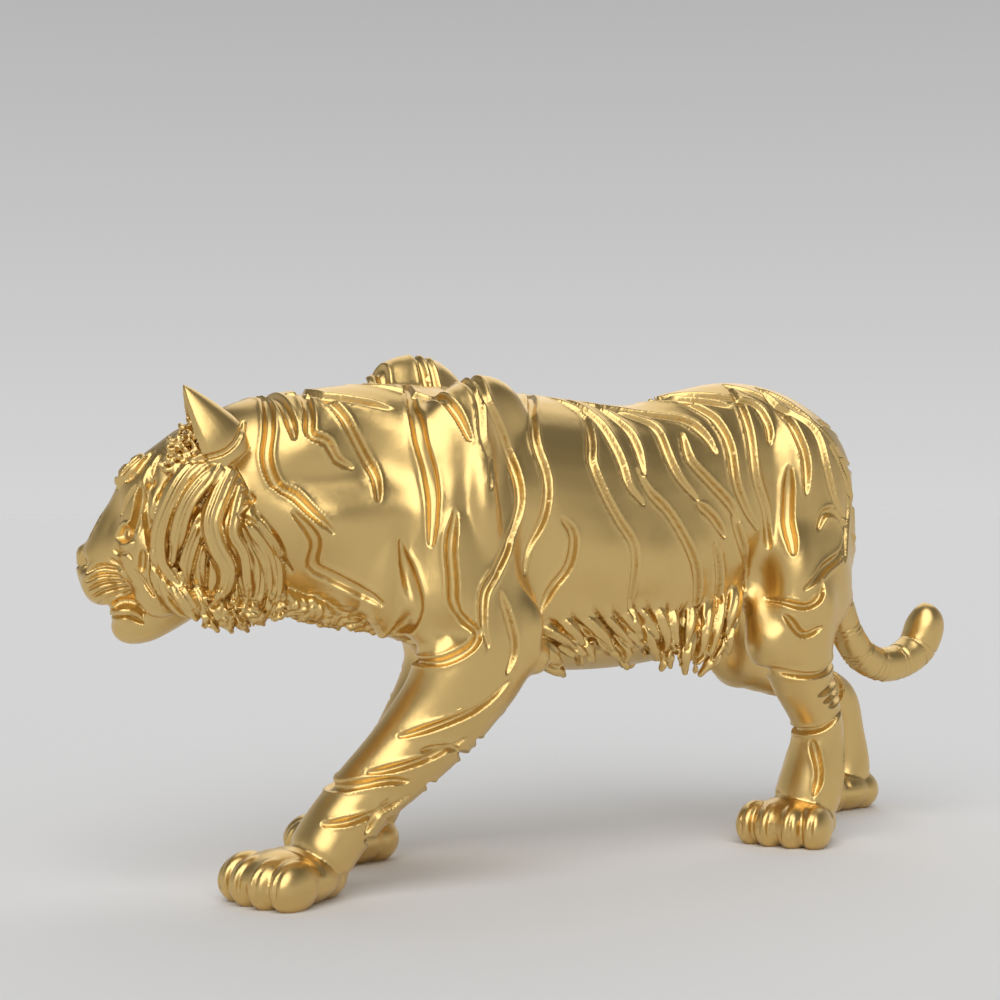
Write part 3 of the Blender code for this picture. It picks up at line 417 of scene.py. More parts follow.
# Crumpled short fur: centre and half sizes, in the head's units and then in the body's, the height
# of its cells, the lengths and directions of its two waves, and how much they are bent
CRUMPLED_HEAD = [((-17, 19, -22.5), (9.5, 9, 4.5)), ((-2.5, 12, 17.5), (5, 6, 5))]
CRUMPLED_BODY = [((76, 9, 66.5), (9, 7, 3.5)), ((91, 8, 70.5), (9, 7, 3.5))]
CRUMPLE_HEIGHT = 1.2
CRUMPLE_WAVES = (4.6, 5.2)
CRUMPLE_RUNS = np.array([[0.75, 0.35, 0.56], [-0.55, 0.3, 0.78]])
CRUMPLE_BEND = 1.3

# Bulges and hollows of both flanks: how strongly they stand out, then along, up, half sizes, height
RELIEF_GAIN = 1.7
RELIEF = [
    (73, 110, 9, 7, -2.2), (84, 102, 12, 6, -1.6), (66, 103, 9, 6, -1.3), (60, 64, 4.5, 5, -2.4),
    (38, 111, 5, 9, -1.2), (29, 82, 6, 11, -1.6), (87, 91, 9, 7, 1.0), (76, 73, 6, 10, 1.8),
    (56, 92, 6, 14, 1.4), (47.5, 97, 3.2, 16, 1.6), (40, 85, 3.5, 9, 1.3), (35.5, 66, 3.5, 8, 2.2),
    (31, 57, 4, 4, 1.6), (5, 82, 9, 11, 1.1), (-10, 80, 7, 9, 1.2), (-7, 70, 6, 5, -0.8),
    (13, 72, 8, 6, -0.8), (-24, 82, 7, 10, 1.0), (-46, 74, 3.5, 9, -2.4), (-56, 81, 5, 12, 1.4),
    (-63, 68, 4, 7, 1.3), (-52, 100, 5, 14, -0.9), (-70, 84, 6, 10, 1.0), (-80, 92, 5, 10, -0.8),
]

# Stripes on the left flank, head end first: along and up
STRIPES = [
    [(97, 119), (99, 109), (97, 101), (93, 98), (90, 94), (85, 89)],
    [(92, 120), (92, 113)],
    [(87, 121), (88, 114), (84, 111), (82, 107), (78, 105)],
    [(79, 120), (77, 114), (74, 108), (72, 103), (73, 97)],
    [(73, 124), (69, 122), (66, 120)],
    [(58, 127), (60, 120), (61, 112), (60, 103), (61, 93), (62, 86)],
    [(60, 129), (55, 125), (52, 119), (50, 112)],
    [(45, 126), (45, 121), (46, 113), (45, 107), (47, 100)],
    [(42, 128), (42, 122), (37, 112), (35, 102), (36, 94), (41, 86), (46, 79), (50, 74), (51, 66), (50, 61)],
    [(21, 126), (24, 120), (27, 112), (26, 102), (28, 92), (32, 84), (33, 78)],
    [(45, 74), (43, 66), (42, 60), (44, 54)],
    [(94, 94), (89, 87), (88, 81), (83, 78), (76, 74), (72, 71)],
    [(68, 87), (66.5, 79), (65.5, 70), (67, 63.5), (69, 58)],
    [(56, 94), (58, 86), (58, 78), (58, 72), (56, 68)],
    [(8, 125), (6, 121), (8, 113), (10, 107), (8, 99), (4, 91), (0, 85), (-1, 75), (-3, 65)],
    [(4, 124), (2, 117), (0, 108), (-1, 101), (-5, 96)],
    [(-4, 121), (-7, 114), (-7, 104)],
    [(-5, 105), (-8, 99), (-14, 93), (-20, 83), (-24, 74), (-27, 63)],
    [(-10, 123), (-16, 118), (-17, 109), (-19, 103), (-24, 97)],
    [(-24, 115), (-24, 108), (-29, 102), (-35, 96), (-38, 91)],
    [(-19, 123), (-26, 120), (-31, 115), (-33, 110)],
    [(-32, 126), (-36, 120), (-38, 113), (-38, 102), (-41, 94), (-45, 89)],
    [(-37, 127), (-43, 124)],
    [(-44, 128), (-51, 125), (-53, 119), (-52, 113)],
    [(-24, 96), (-29, 92), (-33, 87)],
    [(-29, 85), (-32, 77), (-34, 69)],
    [(-36, 93), (-39, 86), (-43, 79), (-45, 72)],
    [(22, 92), (19, 88), (20, 80), (24, 74), (27, 67)],
    [(-46, 118), (-45, 104), (-48, 94), (-49, 84)],
    [(-56, 106), (-55, 97), (-54, 90), (-53, 82)],
    [(-60, 117), (-61, 109), (-60, 99)],
    [(-60, 124), (-67, 117), (-68, 107), (-70, 97), (-74, 92)],
    [(-70, 119), (-77, 109), (-81, 100), (-84, 90)],
    [(-72, 112), (-76, 105), (-78, 96), (-75, 88), (-72, 80)],
    [(-63, 89), (-66, 93.5), (-71, 93), (-73.5, 88), (-71, 82.4), (-63, 78), (-55, 72.5)],
]

# Stripes behind the thighs: out and up
RUMP_STRIPES = [
    [(21, 113), (15, 107), (8, 106)], [(22, 100), (15, 94), (9, 93)], [(21, 87), (15, 81), (10, 81)],
    [(20, 74), (14, 69), (9, 70)], [(15, 121), (9, 117), (4, 117)],
]

# Stripes round the right foreleg and hind leg: share of the way down, then front (1) to back (-1)
FORELEG_STRIPES = [
    [(0.45, -0.1), (0.52, 0.45), (0.57, 0.9)], [(0.58, -0.1), (0.64, 0.45), (0.68, 0.9)],
    [(0.71, 0.1), (0.76, 0.5), (0.8, 0.9)], [(0.76, -0.4), (0.81, 0.1), (0.86, 0.6)],
    [(0.5, -0.9), (0.55, -0.4)], [(0.66, -0.9), (0.7, -0.5)],
]
HINDLEG_STRIPES = [
    [(0.5, 0.95), (0.52, 0.3), (0.5, -0.3)], [(0.58, 0.95), (0.62, 0.3), (0.6, -0.4), (0.56, -0.95)],
    [(0.68, 0.95), (0.72, 0.3), (0.71, -0.4), (0.67, -0.95)], [(0.44, -0.2), (0.42, -0.6), (0.36, -0.95)],
]

# Left ear in the head's units, its half width, its depth and the thickness of its wall, the share of
# its height where it starts inside the skull, and its rings
EAR_BASE = np.array([-11.5, 13.0, 19.5])
EAR_TIP = np.array([-2.8, 15.0, 32.6])
EAR_FACING = np.array([0.83, 0.12, -0.56])
EAR_DEEP = 14.6
EAR_HALF = 7.0
EAR_WALL = 1.1
EAR_START = -0.35
EAR_RINGS = 18

# Finish: the gold, its roughness, and the fineness, strength and depth in metres of its uneven skin
GOLD = (0.73, 0.51, 0.2, 1.0)
GOLD_ROUGHNESS = 0.32
GRAIN_SCALE = 420.0
GRAIN_STRENGTH = 0.08
GRAIN_DEPTH = 0.0004

# The floor's half size in metres, its grey and its roughness
FLOOR_HALF = 12.0
FLOOR_GREY = 0.8
FLOOR_ROUGHNESS = 0.9


def smooth_path(rows, step):
    """Catmull-Rom curve through the rows, sampled about every step of its first three columns."""
    rows = np.asarray(rows, float)
    held = np.vstack([2 * rows[0] - rows[1], rows, 2 * rows[-1] - rows[-2]])
    pieces = []
    for i in range(1, len(rows)):
        before, here, there, after = held[i - 1:i + 3]
        count = max(2, int(np.linalg.norm((there - here)[:3]) / step))
        t = (np.arange(count) / count)[:, None]
        bend = (2 * before - 5 * here + 4 * there - after) * t ** 2
        swing = (3 * here - before - 3 * there + after) * t ** 3
        pieces.append(0.5 * (2 * here + (there - before) * t + bend + swing))
    return np.vstack(pieces + [rows[-1:]])


def grid_triangles(rings, sides):
    """Triangles between neighbouring rings of points, and a fan onto each of two end points."""
    row = np.arange(rings - 1)[:, None] * sides
    a = np.arange(sides)
    b = (a + 1) % sides
    lower = np.stack([row + a, row + b, row + sides + b], -1).reshape(-1, 3)
    upper = np.stack([row + a, row + sides + b, row + sides + a], -1).reshape(-1, 3)
    start = np.stack([np.full(sides, rings * sides), b, a], 1)
    top = (rings - 1) * sides
    end = np.stack([np.full(sides, rings * sides + 1), top + a, top + b], 1)
    return np.vstack([lower, upper, start, end])


def tube(rows, upright=False, step=2.0, fullness=2.0, tip=0.6, ribs=0, rib=0.0, twist=0.0):
    """A rounded profile carried along a path: its point at angle a is (wide cos a, reach sin a).

    Each row is a centre, then the profile's half width, its reach in front and its reach behind.
    An upright tube keeps its sections vertical; any other turns them square to the path. Ribs
    swell the profile by 1 + rib cos(ribs a + twist s), s running from 0 to 1 along the path.
    """
    path = smooth_path(rows, step)
    centre = path[:, :3]
    wide, front, back = np.maximum(path[:, 3:6], 0.02 * path[:, 3:6].max()).T
    along = np.gradient(centre, axis=0)
    along /= np.linalg.norm(along, axis=1, keepdims=True)
    across = np.tile([0.0, 1.0, 0.0], (len(path), 1))
    rise = np.tile([0.0, 0.0, 1.0], (len(path), 1))
    if not upright:
        across -= along[:, 1:2] * along
        across /= np.linalg.norm(across, axis=1, keepdims=True)
        rise = np.cross(along, across)
    angle = np.arange(RING) * 2 * math.pi / RING
    flat = np.sign(np.cos(angle)) * np.abs(np.cos(angle)) ** (2 / fullness)
    tall = np.sign(np.sin(angle)) * np.abs(np.sin(angle)) ** (2 / fullness)
    run = np.linspace(0, 1, len(path))[:, None]
    swell = 1 + rib * np.cos(ribs * angle + twist * run)
    reach = np.where(tall > 0, front[:, None], back[:, None]) * tall * swell
    spread = (wide[:, None] * flat * swell)[..., None] * across[:, None]
    rings = centre[:, None] + spread + reach[..., None] * rise[:, None]
    caps = tip * np.minimum(wide, front)
    ends = [centre[0] - along[0] * caps[0], centre[-1] + along[-1] * caps[-1]]
    return np.vstack([rings.reshape(-1, 3), ends]), grid_triangles(len(path), RING)


def turned(points, pitch=0.0, yaw=0.0):
    """Points turned nose-down by pitch about the out axis, then by yaw about the upright axis."""
    p, y = math.radians(pitch), math.radians(yaw)
    tilt = np.array([[math.cos(p), 0, math.sin(p)], [0, 1, 0], [-math.sin(p), 0, math.cos(p)]])
    swing = np.array([[math.cos(y), -math.sin(y), 0], [math.sin(y), math.cos(y), 0], [0, 0, 1]])
    return points @ (swing @ tilt).T


def egg(centre, half_sizes, pitch=0.0, yaw=0.0, rings=14):
    """An ellipsoid, half size times (cos b cos a, cos b sin a, sin b), turned and moved to its centre."""
    latitude = np.linspace(-math.pi / 2, math.pi / 2, rings + 2)[1:-1, None]
    angle = np.arange(RING) * 2 * math.pi / RING
    ball = np.stack([np.cos(latitude) * np.cos(angle), np.cos(latitude) * np.sin(angle),
                     np.sin(latitude) + 0 * angle], -1).reshape(-1, 3)
    ball = np.vstack([ball, [[0, 0, -1], [0, 0, 1]]]) * np.asarray(half_sizes, float)
    return turned(ball, pitch, yaw) + np.asarray(centre, float), grid_triangles(rings, RING)


def mirrored(rows, side):
    """The rows with their out column on the given side: 1 is left, -1 is right."""
    flipped = np.array(rows, float)
    flipped[:, 1] *= side
    return flipped


def in_head(form):
    """A form drawn on a level head, turned and set on the neck."""
    points, triangles = form
    return turned(points, yaw=HEAD_TURN) + HEAD_AT, triangles


def lock(path, width, ribs=6, flat=1.0):
    """A tapering ribbed tuft of fur: full in its first half, drawn out to a point."""
    path = np.asarray(path, float)
    share = np.linspace(0, 1, len(path))
    girth = width / 2 * np.interp(share, *LOCK_GIRTH)
    rows = np.column_stack([path, girth * flat, girth, girth])
    return tube(rows, step=width / 5, ribs=ribs, rib=LOCK_RIB, twist=LOCK_TWIST)


def curl(centre, radius, start, facing):
    """A small ringlet: a round bead carried most of the way round a circle that faces outwards.

    The circle shrinks and rises as it goes round, so the bead's end lies over its start.
    """
    angle = start + np.linspace(0, CURL_ROUND, CURL_ROWS)
    facing = np.asarray(facing, float) / np.linalg.norm(facing)
    level = np.cross(facing, [0.0, 0.0, 1.0])
    level /= np.linalg.norm(level)
    upright = np.cross(level, facing)
    shrink = radius * np.linspace(*CURL_SHRINK, CURL_ROWS)
    path = np.asarray(centre) + (shrink * np.cos(angle))[:, None] * level
    path += (shrink * np.sin(angle))[:, None] * upright
    path += np.linspace(-CURL_RISE, CURL_RISE, CURL_ROWS)[:, None] * facing
    girth = np.full((CURL_ROWS, 3), radius * CURL_BEAD)
    return tube(np.hstack([path, girth]), step=radius / 2)


def scattered(count, low, high, seed):
    """Spots spread evenly over a rectangle: a golden-ratio walk across, an even climb up."""
    turn = (np.arange(count) * GOLDEN_SHARE + seed) % 1
    climb = (np.arange(count) + 0.5) / count
    return np.column_stack([low[0] + (high[0] - low[0]) * turn, low[1] + (high[1] - low[1]) * climb])


def between(rows, spot):
    """The row that lies at a spot, counted in rows, of a table."""
    rows = np.asarray(rows, float)
    return np.array([np.interp(spot, range(len(rows)), rows[:, k]) for k in range(rows.shape[1])])


def tail_rows():
    """The tail's table with its one thickness used on all sides."""
    rows = np.array(TAIL, float)
    return np.hstack([rows[:, :3], rows[:, 3:4], rows[:, 3:4], rows[:, 3:4]])


def body_masses():
    """Trunk, legs, tail and the muscles under the coat, for the softened skin."""
    forms = [tube(TRUNK, upright=True), tube(tail_rows())]
    forms += [tube(rows) for rows in (LEFT_FORELEG, RIGHT_FORELEG, LEFT_HINDLEG, RIGHT_HINDLEG)]
    forms += [egg(centre, half, pitch) for centre, half, pitch in MUSCLES]
    return forms + [tube(ridge) for ridge in RIDGES]


def paw(along, out, heading):
    """A pad, a heel and four long toes in an arc; dips a little below the floor to be cut flat."""
    half = np.array([PAW_LENGTH, PAW_WIDTH, PAW_HEIGHT]) / 2
    forms = [egg(half * centre, half * size) for centre, size in PAW_MASSES]
    for out_share, forward, size in TOES:
        forms.append(egg(half * (forward, out_share, TOE_UP), half * (TOE_LONG, size, TOE_TALL),
                         pitch=TOE_PITCH, yaw=out_share * TOE_SPREAD))
    return [(turned(points, yaw=heading) + (along, out, 0), triangles) for points, triangles in forms]


def claw_heights(points):
    """Heights of the claw slits, two at each toe's front, and of the crease behind the knuckles.

    Each slit is a narrow bell curve a few units tall; the crease is one across the paw's top.
    """
    heights = np.zeros(len(points))
    low = np.flatnonzero(points[:, 2] < PAW_HEIGHT)
    for along, out, heading in PAWS.values():
        forward, aside, up = turned(points[low] - (along, out, 0), yaw=-heading).T
        front = forward > CLAW_FROM * PAW_LENGTH / 2
        for out_share, _, size in TOES:
            for share in (-CLAW_ASIDE, CLAW_ASIDE):
                middle = (out_share + share * size) * PAW_WIDTH / 2
                across, climb = (aside - middle) / CLAW_SLIT, (up - CLAW_UP * PAW_HEIGHT) / CLAW_TALL
                heights[low] -= CLAW_DEPTH * np.exp(-(across ** 2 + climb ** 2)) * front
        crease = (forward - KNUCKLE_AT * PAW_LENGTH / 2 + KNUCKLE_BOW * aside ** 2) / KNUCKLE_HALF
        heights[low] -= KNUCKLE_DEPTH * np.exp(-crease ** 2) * (up > KNUCKLE_UP * PAW_HEIGHT)
    return heights


def head_masses():
    """Skull, jaw, cheeks and the masses of the face, for the softened skin."""
    forms = [tube(SKULL, upright=True, fullness=2.2), tube(JAW, upright=True)]
    forms += [egg(*NOSE), egg(*CHIN)]
    for side in (1, -1):
        eggs = [egg((x, side * y, z), half, pitch) for (x, y, z), half, pitch in [CHEEK_BALL] + FACE_MASSES]
        forms += [eggs[0], tube(mirrored(CHEEK, side))] + eggs[1:]
    return [in_head(form) for form in forms]


def ear(side):
    """A leaf rolled into a funnel, open at the front, its sections carried from the base to the tip.

    At a share h of its height a section is a half ring, w cos a across and d |sin a| to the 0.9 back.
    With k = 1.02 - root(h squared + 0.04), w is EAR_HALF k to the 0.7 and d is EAR_DEEP k to the 0.85.
    The inner side lies a wall inside and closes up towards the root.
    """
    share = np.linspace(EAR_START, 0.995, EAR_RINGS)[:, None, None]
    angle = (np.arange(RING) * 2 * math.pi / RING)[None, :, None]
    rise = EAR_TIP - EAR_BASE
    tall = np.linalg.norm(rise)
    rise = rise / tall
    facing = EAR_FACING - (EAR_FACING @ rise) * rise
    facing /= np.linalg.norm(facing)
    wide = np.cross(rise, facing)
    left = 1.02 - np.sqrt(share ** 2 + 0.04)
    half = EAR_HALF * left ** 0.7 + 0.35
    deep = EAR_DEEP * left ** 0.85 + 0.4
    outer = np.sin(angle) < 0
    bulge = np.abs(np.sin(angle)) ** 0.9
    hollow = np.clip(deep * (1 - 0.55 * (share < 0)) - 2 * EAR_WALL, 0.0, None)
    hollow = hollow * np.clip(0.2 + 1.4 * share, 0, 1)
    depth = deep / 2 - np.where(outer, deep, hollow) * bulge
    across = np.where(outer, half, np.maximum(half - EAR_WALL, 0.1)) * np.cos(angle)
    rings = EAR_BASE + tall * share * rise + across * wide + depth * facing
    ends = np.array([EAR_BASE - 0.42 * tall * rise, EAR_TIP + rise * 0.3])
    points = np.vstack([rings.reshape(-1, 3), ends])
    return in_head((mirrored(points, side), grid_triangles(EAR_RINGS, RING)))


def cheek_out(forward, up):
    """How far out the ruff's skin lies at a spot of the cheek: a shallow dome."""
    ahead, above = forward - RUFF_CROWN_AT[0], up - RUFF_CROWN_AT[1]
    return np.maximum(RUFF_CROWN - RUFF_FALL[0] * ahead ** 2 - RUFF_FALL[1] * above ** 2, RUFF_LEAST)


def ruff():
    """The locks of both cheeks, laid on the cheek's dome, and the ragged curls at the ruff's end.

    Sines of its number make each curl a little different.
    """
    forms = []
    for side in (1, -1):
        for width, flat, lift, path in RUFF:
            path = np.array(path, float)
            raised = np.linspace(-RUFF_ROOT, 0, len(path)) * width * flat - RUFF_SUNK + lift
            rows = np.column_stack([path[:, 0], cheek_out(path[:, 0], path[:, 1]) + raised, path[:, 1]])
            forms.append(in_head(lock(mirrored(rows, side), width, ribs=0, flat=flat)))
        for k, (forward, up) in enumerate(scattered(*RUFF_CURLS, 0.3)):
            centre = (forward, side * (cheek_out(forward, up) - 0.6 + 0.8 * math.sin(k * 2.1)), up)
            radius = 1.1 + 0.3 * math.sin(k * 1.3)
            forms.append(in_head(curl(centre, radius, k * CURL_STEP, (0, side, -0.3))))
    return forms


def brow_curls():
    """Ringlets on the forehead, between the brows and the ears, each of its own size and turn."""
    forms = []
    for side in (1, -1):
        for k, (forward, up) in enumerate(scattered(*BROW_CURLS, 0.1)):
            forward -= BROW_LEAN * (up - BROW_LOW)
            facing = (forward + 4, side * 10.0, up - 2)
            out = BROW_OUT - BROW_FALL[0] * (forward + 4) ** 2 - BROW_FALL[1] * (up - 13)
            radius = 1.15 + 0.25 * math.sin(k * 1.7)
            forms.append(in_head(curl((forward, side * out, up), radius, k * CURL_STEP, facing)))
    return forms


def fringe_locks():
    """Widths and paths of the left fringe's locks, in overlapping rows that start at the table's roots.

    Sines of its number make each lock sweep, drop and bow a little differently.
    """
    locks = []
    for shift_out, shift_up, count, width, vary in FRINGE_ROWS:
        for i in range(count):
            along, out, up, sweep, drop = between(FRINGE, (i + 0.5) / count * (len(FRINGE) - 1))
            sweep *= 1 + 0.25 * math.sin(i * 2.3 + vary)
            drop *= 1 + 0.16 * math.sin(i * 1.7 + 2 * vary)
            out, up = out + shift_out, up + shift_up
            bow = 0.14 * drop * math.cos(i * 3.1 + vary)
            path = [(along + swept * sweep + bowed * bow, out + inset, up + fallen * drop)
                    for swept, bowed, inset, fallen in FRINGE_PATH]
            locks.append((width * (1 + 0.2 * math.cos(i * 2.7 + vary)), np.array(path)))
    return locks


def fringe():
    """Overlapping rows of locks along both sides of the belly."""
    return [lock(mirrored(path, side), width, ribs=0, flat=0.75)
            for side in (1, -1) for width, path in fringe_locks()]


def chest_tufts():
    """The throat, and short tufts combed down and back along its edges, from the ruff to the chest."""
    forms = [egg(*THROAT)]
    first, last = np.array(CHEST_ROOTS, float)
    for side in (1, -1):
        for i in range(CHEST_TUFTS):
            root = first + (last - first) * i / (CHEST_TUFTS - 1)
            length = 1 + 0.3 * math.sin(i * 2.4)
            path = [root + CHEST_START, root]
            path += [root + (back * length, out, down * length) for back, out, down in CHEST_PATH]
            forms.append(lock(mirrored(path, side), 4.2 + 0.6 * math.cos(i * 1.9), ribs=4, flat=0.8))
    return forms


def elbow_tufts():
    """Short tufts down the back edge of each foreleg."""
    forms = []
    for rows in (LEFT_FORELEG, RIGHT_FORELEG):
        path = smooth_path(rows, 1.0)
        low = np.flatnonzero(path[:, 2] < ELBOW_UP)
        for k in range(ELBOW_TUFTS):
            row = path[low[int(k * len(low) / ELBOW_STEP)]]
            start = row[:3] + ELBOW_ROOT * row[5]
            forms.append(lock([start + spot for spot in ELBOW_PATH], ELBOW_WIDTH))
    return forms


def mesh_of(name, points, triangles):
    """A mesh from an array of points and an array of triangles."""
    mesh = bpy.data.meshes.new(name)
    mesh.vertices.add(len(points))
    mesh.vertices.foreach_set("co", np.asarray(points, np.float32).ravel())
    mesh.loops.add(3 * len(triangles))
    mesh.loops.foreach_set("vertex_index", np.asarray(triangles, np.int32).ravel())
    mesh.polygons.add(len(triangles))
    mesh.polygons.foreach_set("loop_start", np.arange(0, 3 * len(triangles), 3, dtype=np.int32))
    mesh.update(calc_edges=True)
    return mesh


def arrays_of(mesh):
    """A mesh's points and triangles as arrays."""
    mesh.calc_loop_triangles()
    points = np.empty(3 * len(mesh.vertices), np.float32)
    mesh.vertices.foreach_get("co", points)
    triangles = np.empty(3 * len(mesh.loop_triangles), np.int32)
    mesh.loop_triangles.foreach_get("vertices", triangles)
    return points.reshape(-1, 3).astype(float), triangles.reshape(-1, 3)


def worked(points, triangles, *steps):
    """The points and triangles after a row of modifiers, each a kind and its settings."""
    mesh = mesh_of("clay", points, triangles)
    item = bpy.data.objects.new("clay", mesh)
    bpy.context.scene.collection.objects.link(item)
    for kind, settings in steps:
        step = item.modifiers.new(kind, kind)
        for setting, value in settings.items():
            setattr(step, setting, value)
    graph = bpy.context.evaluated_depsgraph_get()
    graph.update()
    result = bpy.data.meshes.new_from_object(item.evaluated_get(graph))
    arrays = arrays_of(result)
    bpy.data.objects.remove(item)
    bpy.data.meshes.remove(mesh)
    bpy.data.meshes.remove(result)
    return arrays


def softening(passes):
    """The modifier that softens a skin: each point moves half way to the mean of its neighbours."""
    return "SMOOTH", {"factor": 0.5, "iterations": passes}


def fused(forms, cell, passes):
    """The forms joined into one skin of square cells and softened by a number of passes."""
    counts = np.cumsum([0] + [len(points) for points, _ in forms])
    points = np.vstack([points for points, _ in forms])
    triangles = np.vstack([triangles + start for (_, triangles), start in zip(forms, counts)])
    joining = ("REMESH", {"mode": "VOXEL", "voxel_size": cell})
    return worked(points, triangles, joining, softening(passes))


def normals_of(points, triangles):
    """Unit normals at the points: the mean of the triangles round each, weighted by their areas."""
    a, b, c = points[triangles[:, 0]], points[triangles[:, 1]], points[triangles[:, 2]]
    square = np.cross(b - a, c - a)
    total = np.zeros_like(points)
    for k in range(3):
        for axis in range(3):
            total[:, axis] += np.bincount(triangles[:, k], square[:, axis], len(points))
    return total / np.maximum(np.linalg.norm(total, axis=1, keepdims=True), 1e-12)


def distance_to(points, line, reach):
    """How far each flat point lies from a smooth line, and its place along the line from 0 to 1.

    Points further off than the reach are given an endless distance.
    """
    line = np.asarray(line, float)
    path = smooth_path(np.column_stack([line, np.zeros(len(line))]), 1.5)[:, :2]
    steps = np.linalg.norm(np.diff(path, axis=0), axis=1)
    run = np.concatenate([[0], np.cumsum(steps)])
    far = np.full(len(points), np.inf)
    place = np.zeros(len(points))
    near = np.flatnonzero(np.all((points > path.min(0) - reach) & (points < path.max(0) + reach), axis=1))
    spots = points[near]
    best = np.full(len(spots), np.inf)
    where = np.zeros(len(spots))
    for i, step in enumerate(np.diff(path, axis=0)):
        share = np.clip((spots - path[i]) @ step / (step @ step), 0, 1)
        gap = np.linalg.norm(spots - path[i] - share[:, None] * step, axis=1)
        closer = gap < best
        best[closer] = gap[closer]
        where[closer] = ((run[i] + share * steps[i]) / run[-1])[closer]
    far[near] = best
    place[near] = where
    return far, place


def furrow(points, line, half, lip=0.0):
    """Height of a furrow at each flat point: -1 on its line, 0 at half a width, then a small lip.

    The section is (d / w) to the fourth - 1 inside w, and lip exp(-((d - 1.4 w) / 0.4 w) squared)
    outside it; w and the depth both fade towards the ends of the line.
    """
    gap, place = distance_to(points, line, 2.6 * half)
    near = np.isfinite(gap)
    height = np.zeros(len(points))
    fade = np.clip(np.minimum(place[near], 1 - place[near]) * 5, 0, 1) ** 0.6
    w = half * (0.4 + 0.6 * fade)
    share = gap[near] / w
    groove = -np.clip(1 - share ** 4, 0, 1)
    height[near] = (groove + lip * np.exp(-((share - 1.4) / 0.4) ** 2)) * (0.35 + 0.65 * fade)
    return height


def fur_heights(flat, locks, bare, coarse):
    """Heights of combed locks over a flat patch, each lying over those before it.

    At a distance d from its line a lock of half width w stands FUR_DOME root(1 - (d / w) squared) high,
    with strands STRAND_HEIGHT cos(2 pi d / step); a groove FUR_GROOVE deep runs along its side. Both
    grow in behind the bare share of its root, and the coarseness widens the strands and the groove.
    """
    heights = np.zeros(len(flat))
    soft = FUR_GROOVE_WIDTH * coarse
    for width, path in locks:
        gap, place = distance_to(flat, path, 0.5 * width + 3 * soft)
        near = np.flatnonzero(np.isfinite(gap))
        gap, place = gap[near], place[near]
        half = 0.5 * width * np.interp(place, *LOCK_TAPER)
        grown = np.clip((place - bare) / 0.25, 0, 1)
        share = np.clip(gap / half, 0, 1)
        strands = STRAND_HEIGHT * np.cos(2 * math.pi * gap / (STRAND_STEP * coarse)) * (1 - share ** 4)
        top = FUR_DOME * np.sqrt(1 - share ** 2) + strands
        side = grown * FUR_GROOVE * np.exp(-((gap - half) / soft) ** 2)
        beside = np.maximum(heights[near] - side, -1.3 * FUR_GROOVE)
        heights[near] = np.where(share < 1, heights[near] + grown * (top - heights[near]), beside)
    return heights


def ruff_heights(points):
    """Heights of the combed locks of both cheeks, the ones that lift most lying on top."""
    local = turned(points - HEAD_AT, yaw=-HEAD_TURN)
    locks = [(width, path) for width, _, _, path in sorted(RUFF, key=lambda row: row[2])]
    return fur_heights(local[:, [0, 2]], locks, 0.0, 1.0) * np.clip((np.abs(local[:, 1]) - 8) / 3, 0, 1)


def fringe_heights(points):
    """Heights of the combed locks of the belly's fringe on both sides."""
    heights = np.zeros(len(points))
    rear, fore, top = FRINGE_BOX
    low = np.flatnonzero((points[:, 2] < top) & (points[:, 0] < fore) & (points[:, 0] > rear))
    locks = [(width, path[:, [0, 2]]) for width, path in fringe_locks()]
    flank = np.clip((np.abs(points[low, 1]) - 12) / 4, 0, 1)
    heights[low] = fur_heights(points[low][:, [0, 2]], locks, FRINGE_BARE, FRINGE_COARSE) * flank
    return heights


def crumple_heights(points):
    """Heights of the short crumpled fur: cells of root |sin a sin b| between sharp creases.

    The waves a and b cross each other and are bent by a second, longer wave; a bell curve round
    each patch's middle fades them out.
    """
    local = turned(points - HEAD_AT, yaw=-HEAD_TURN)
    patches = [(local, patch) for patch in CRUMPLED_HEAD] + [(points, patch) for patch in CRUMPLED_BODY]
    amount = np.zeros(len(points))
    for places, (centre, half) in patches:
        spread = (places * (1, 0, 1) + np.abs(places) * (0, 1, 0) - centre) / half
        amount = np.maximum(amount, np.exp(-(spread ** 2).sum(axis=1)))
    near = np.flatnonzero(amount > 0.05)
    rising, falling = points[near] @ CRUMPLE_RUNS[0], points[near] @ CRUMPLE_RUNS[1]
    a = 2 * math.pi * rising / CRUMPLE_WAVES[0] + CRUMPLE_BEND * np.sin(0.9 * falling)
    b = 2 * math.pi * falling / CRUMPLE_WAVES[1] + CRUMPLE_BEND * np.sin(1.1 * rising)
    heights = np.zeros(len(points))
    heights[near] = CRUMPLE_HEIGHT * amount[near] * (np.sqrt(np.abs(np.sin(a) * np.sin(b))) - 0.6)
    return heights


def deepest(heights, more):
    """Two sets of furrows together: the deeper groove, or else the higher lip."""
    return np.where((heights < 0) | (more < 0), np.minimum(heights, more), np.maximum(heights, more))


def limb_line(rows, stripe):
    """A stripe's share-of-the-way-down and front-to-back pairs, as along and up."""
    path = smooth_path(rows, 1.0)
    spots = []
    for down, front in stripe:
        at = path[int(down * (len(path) - 1))]
        ahead = path[min(int(down * (len(path) - 1)) + 1, len(path) - 1)]
        back = path[max(int(down * (len(path) - 1)) - 1, 0)]
        run = (ahead - back)[[0, 2]]
        square = np.array([-run[1], run[0]]) / np.linalg.norm(run)
        spots.append(at[[0, 2]] + square * front * (at[4] if front > 0 else at[5]))
    return spots


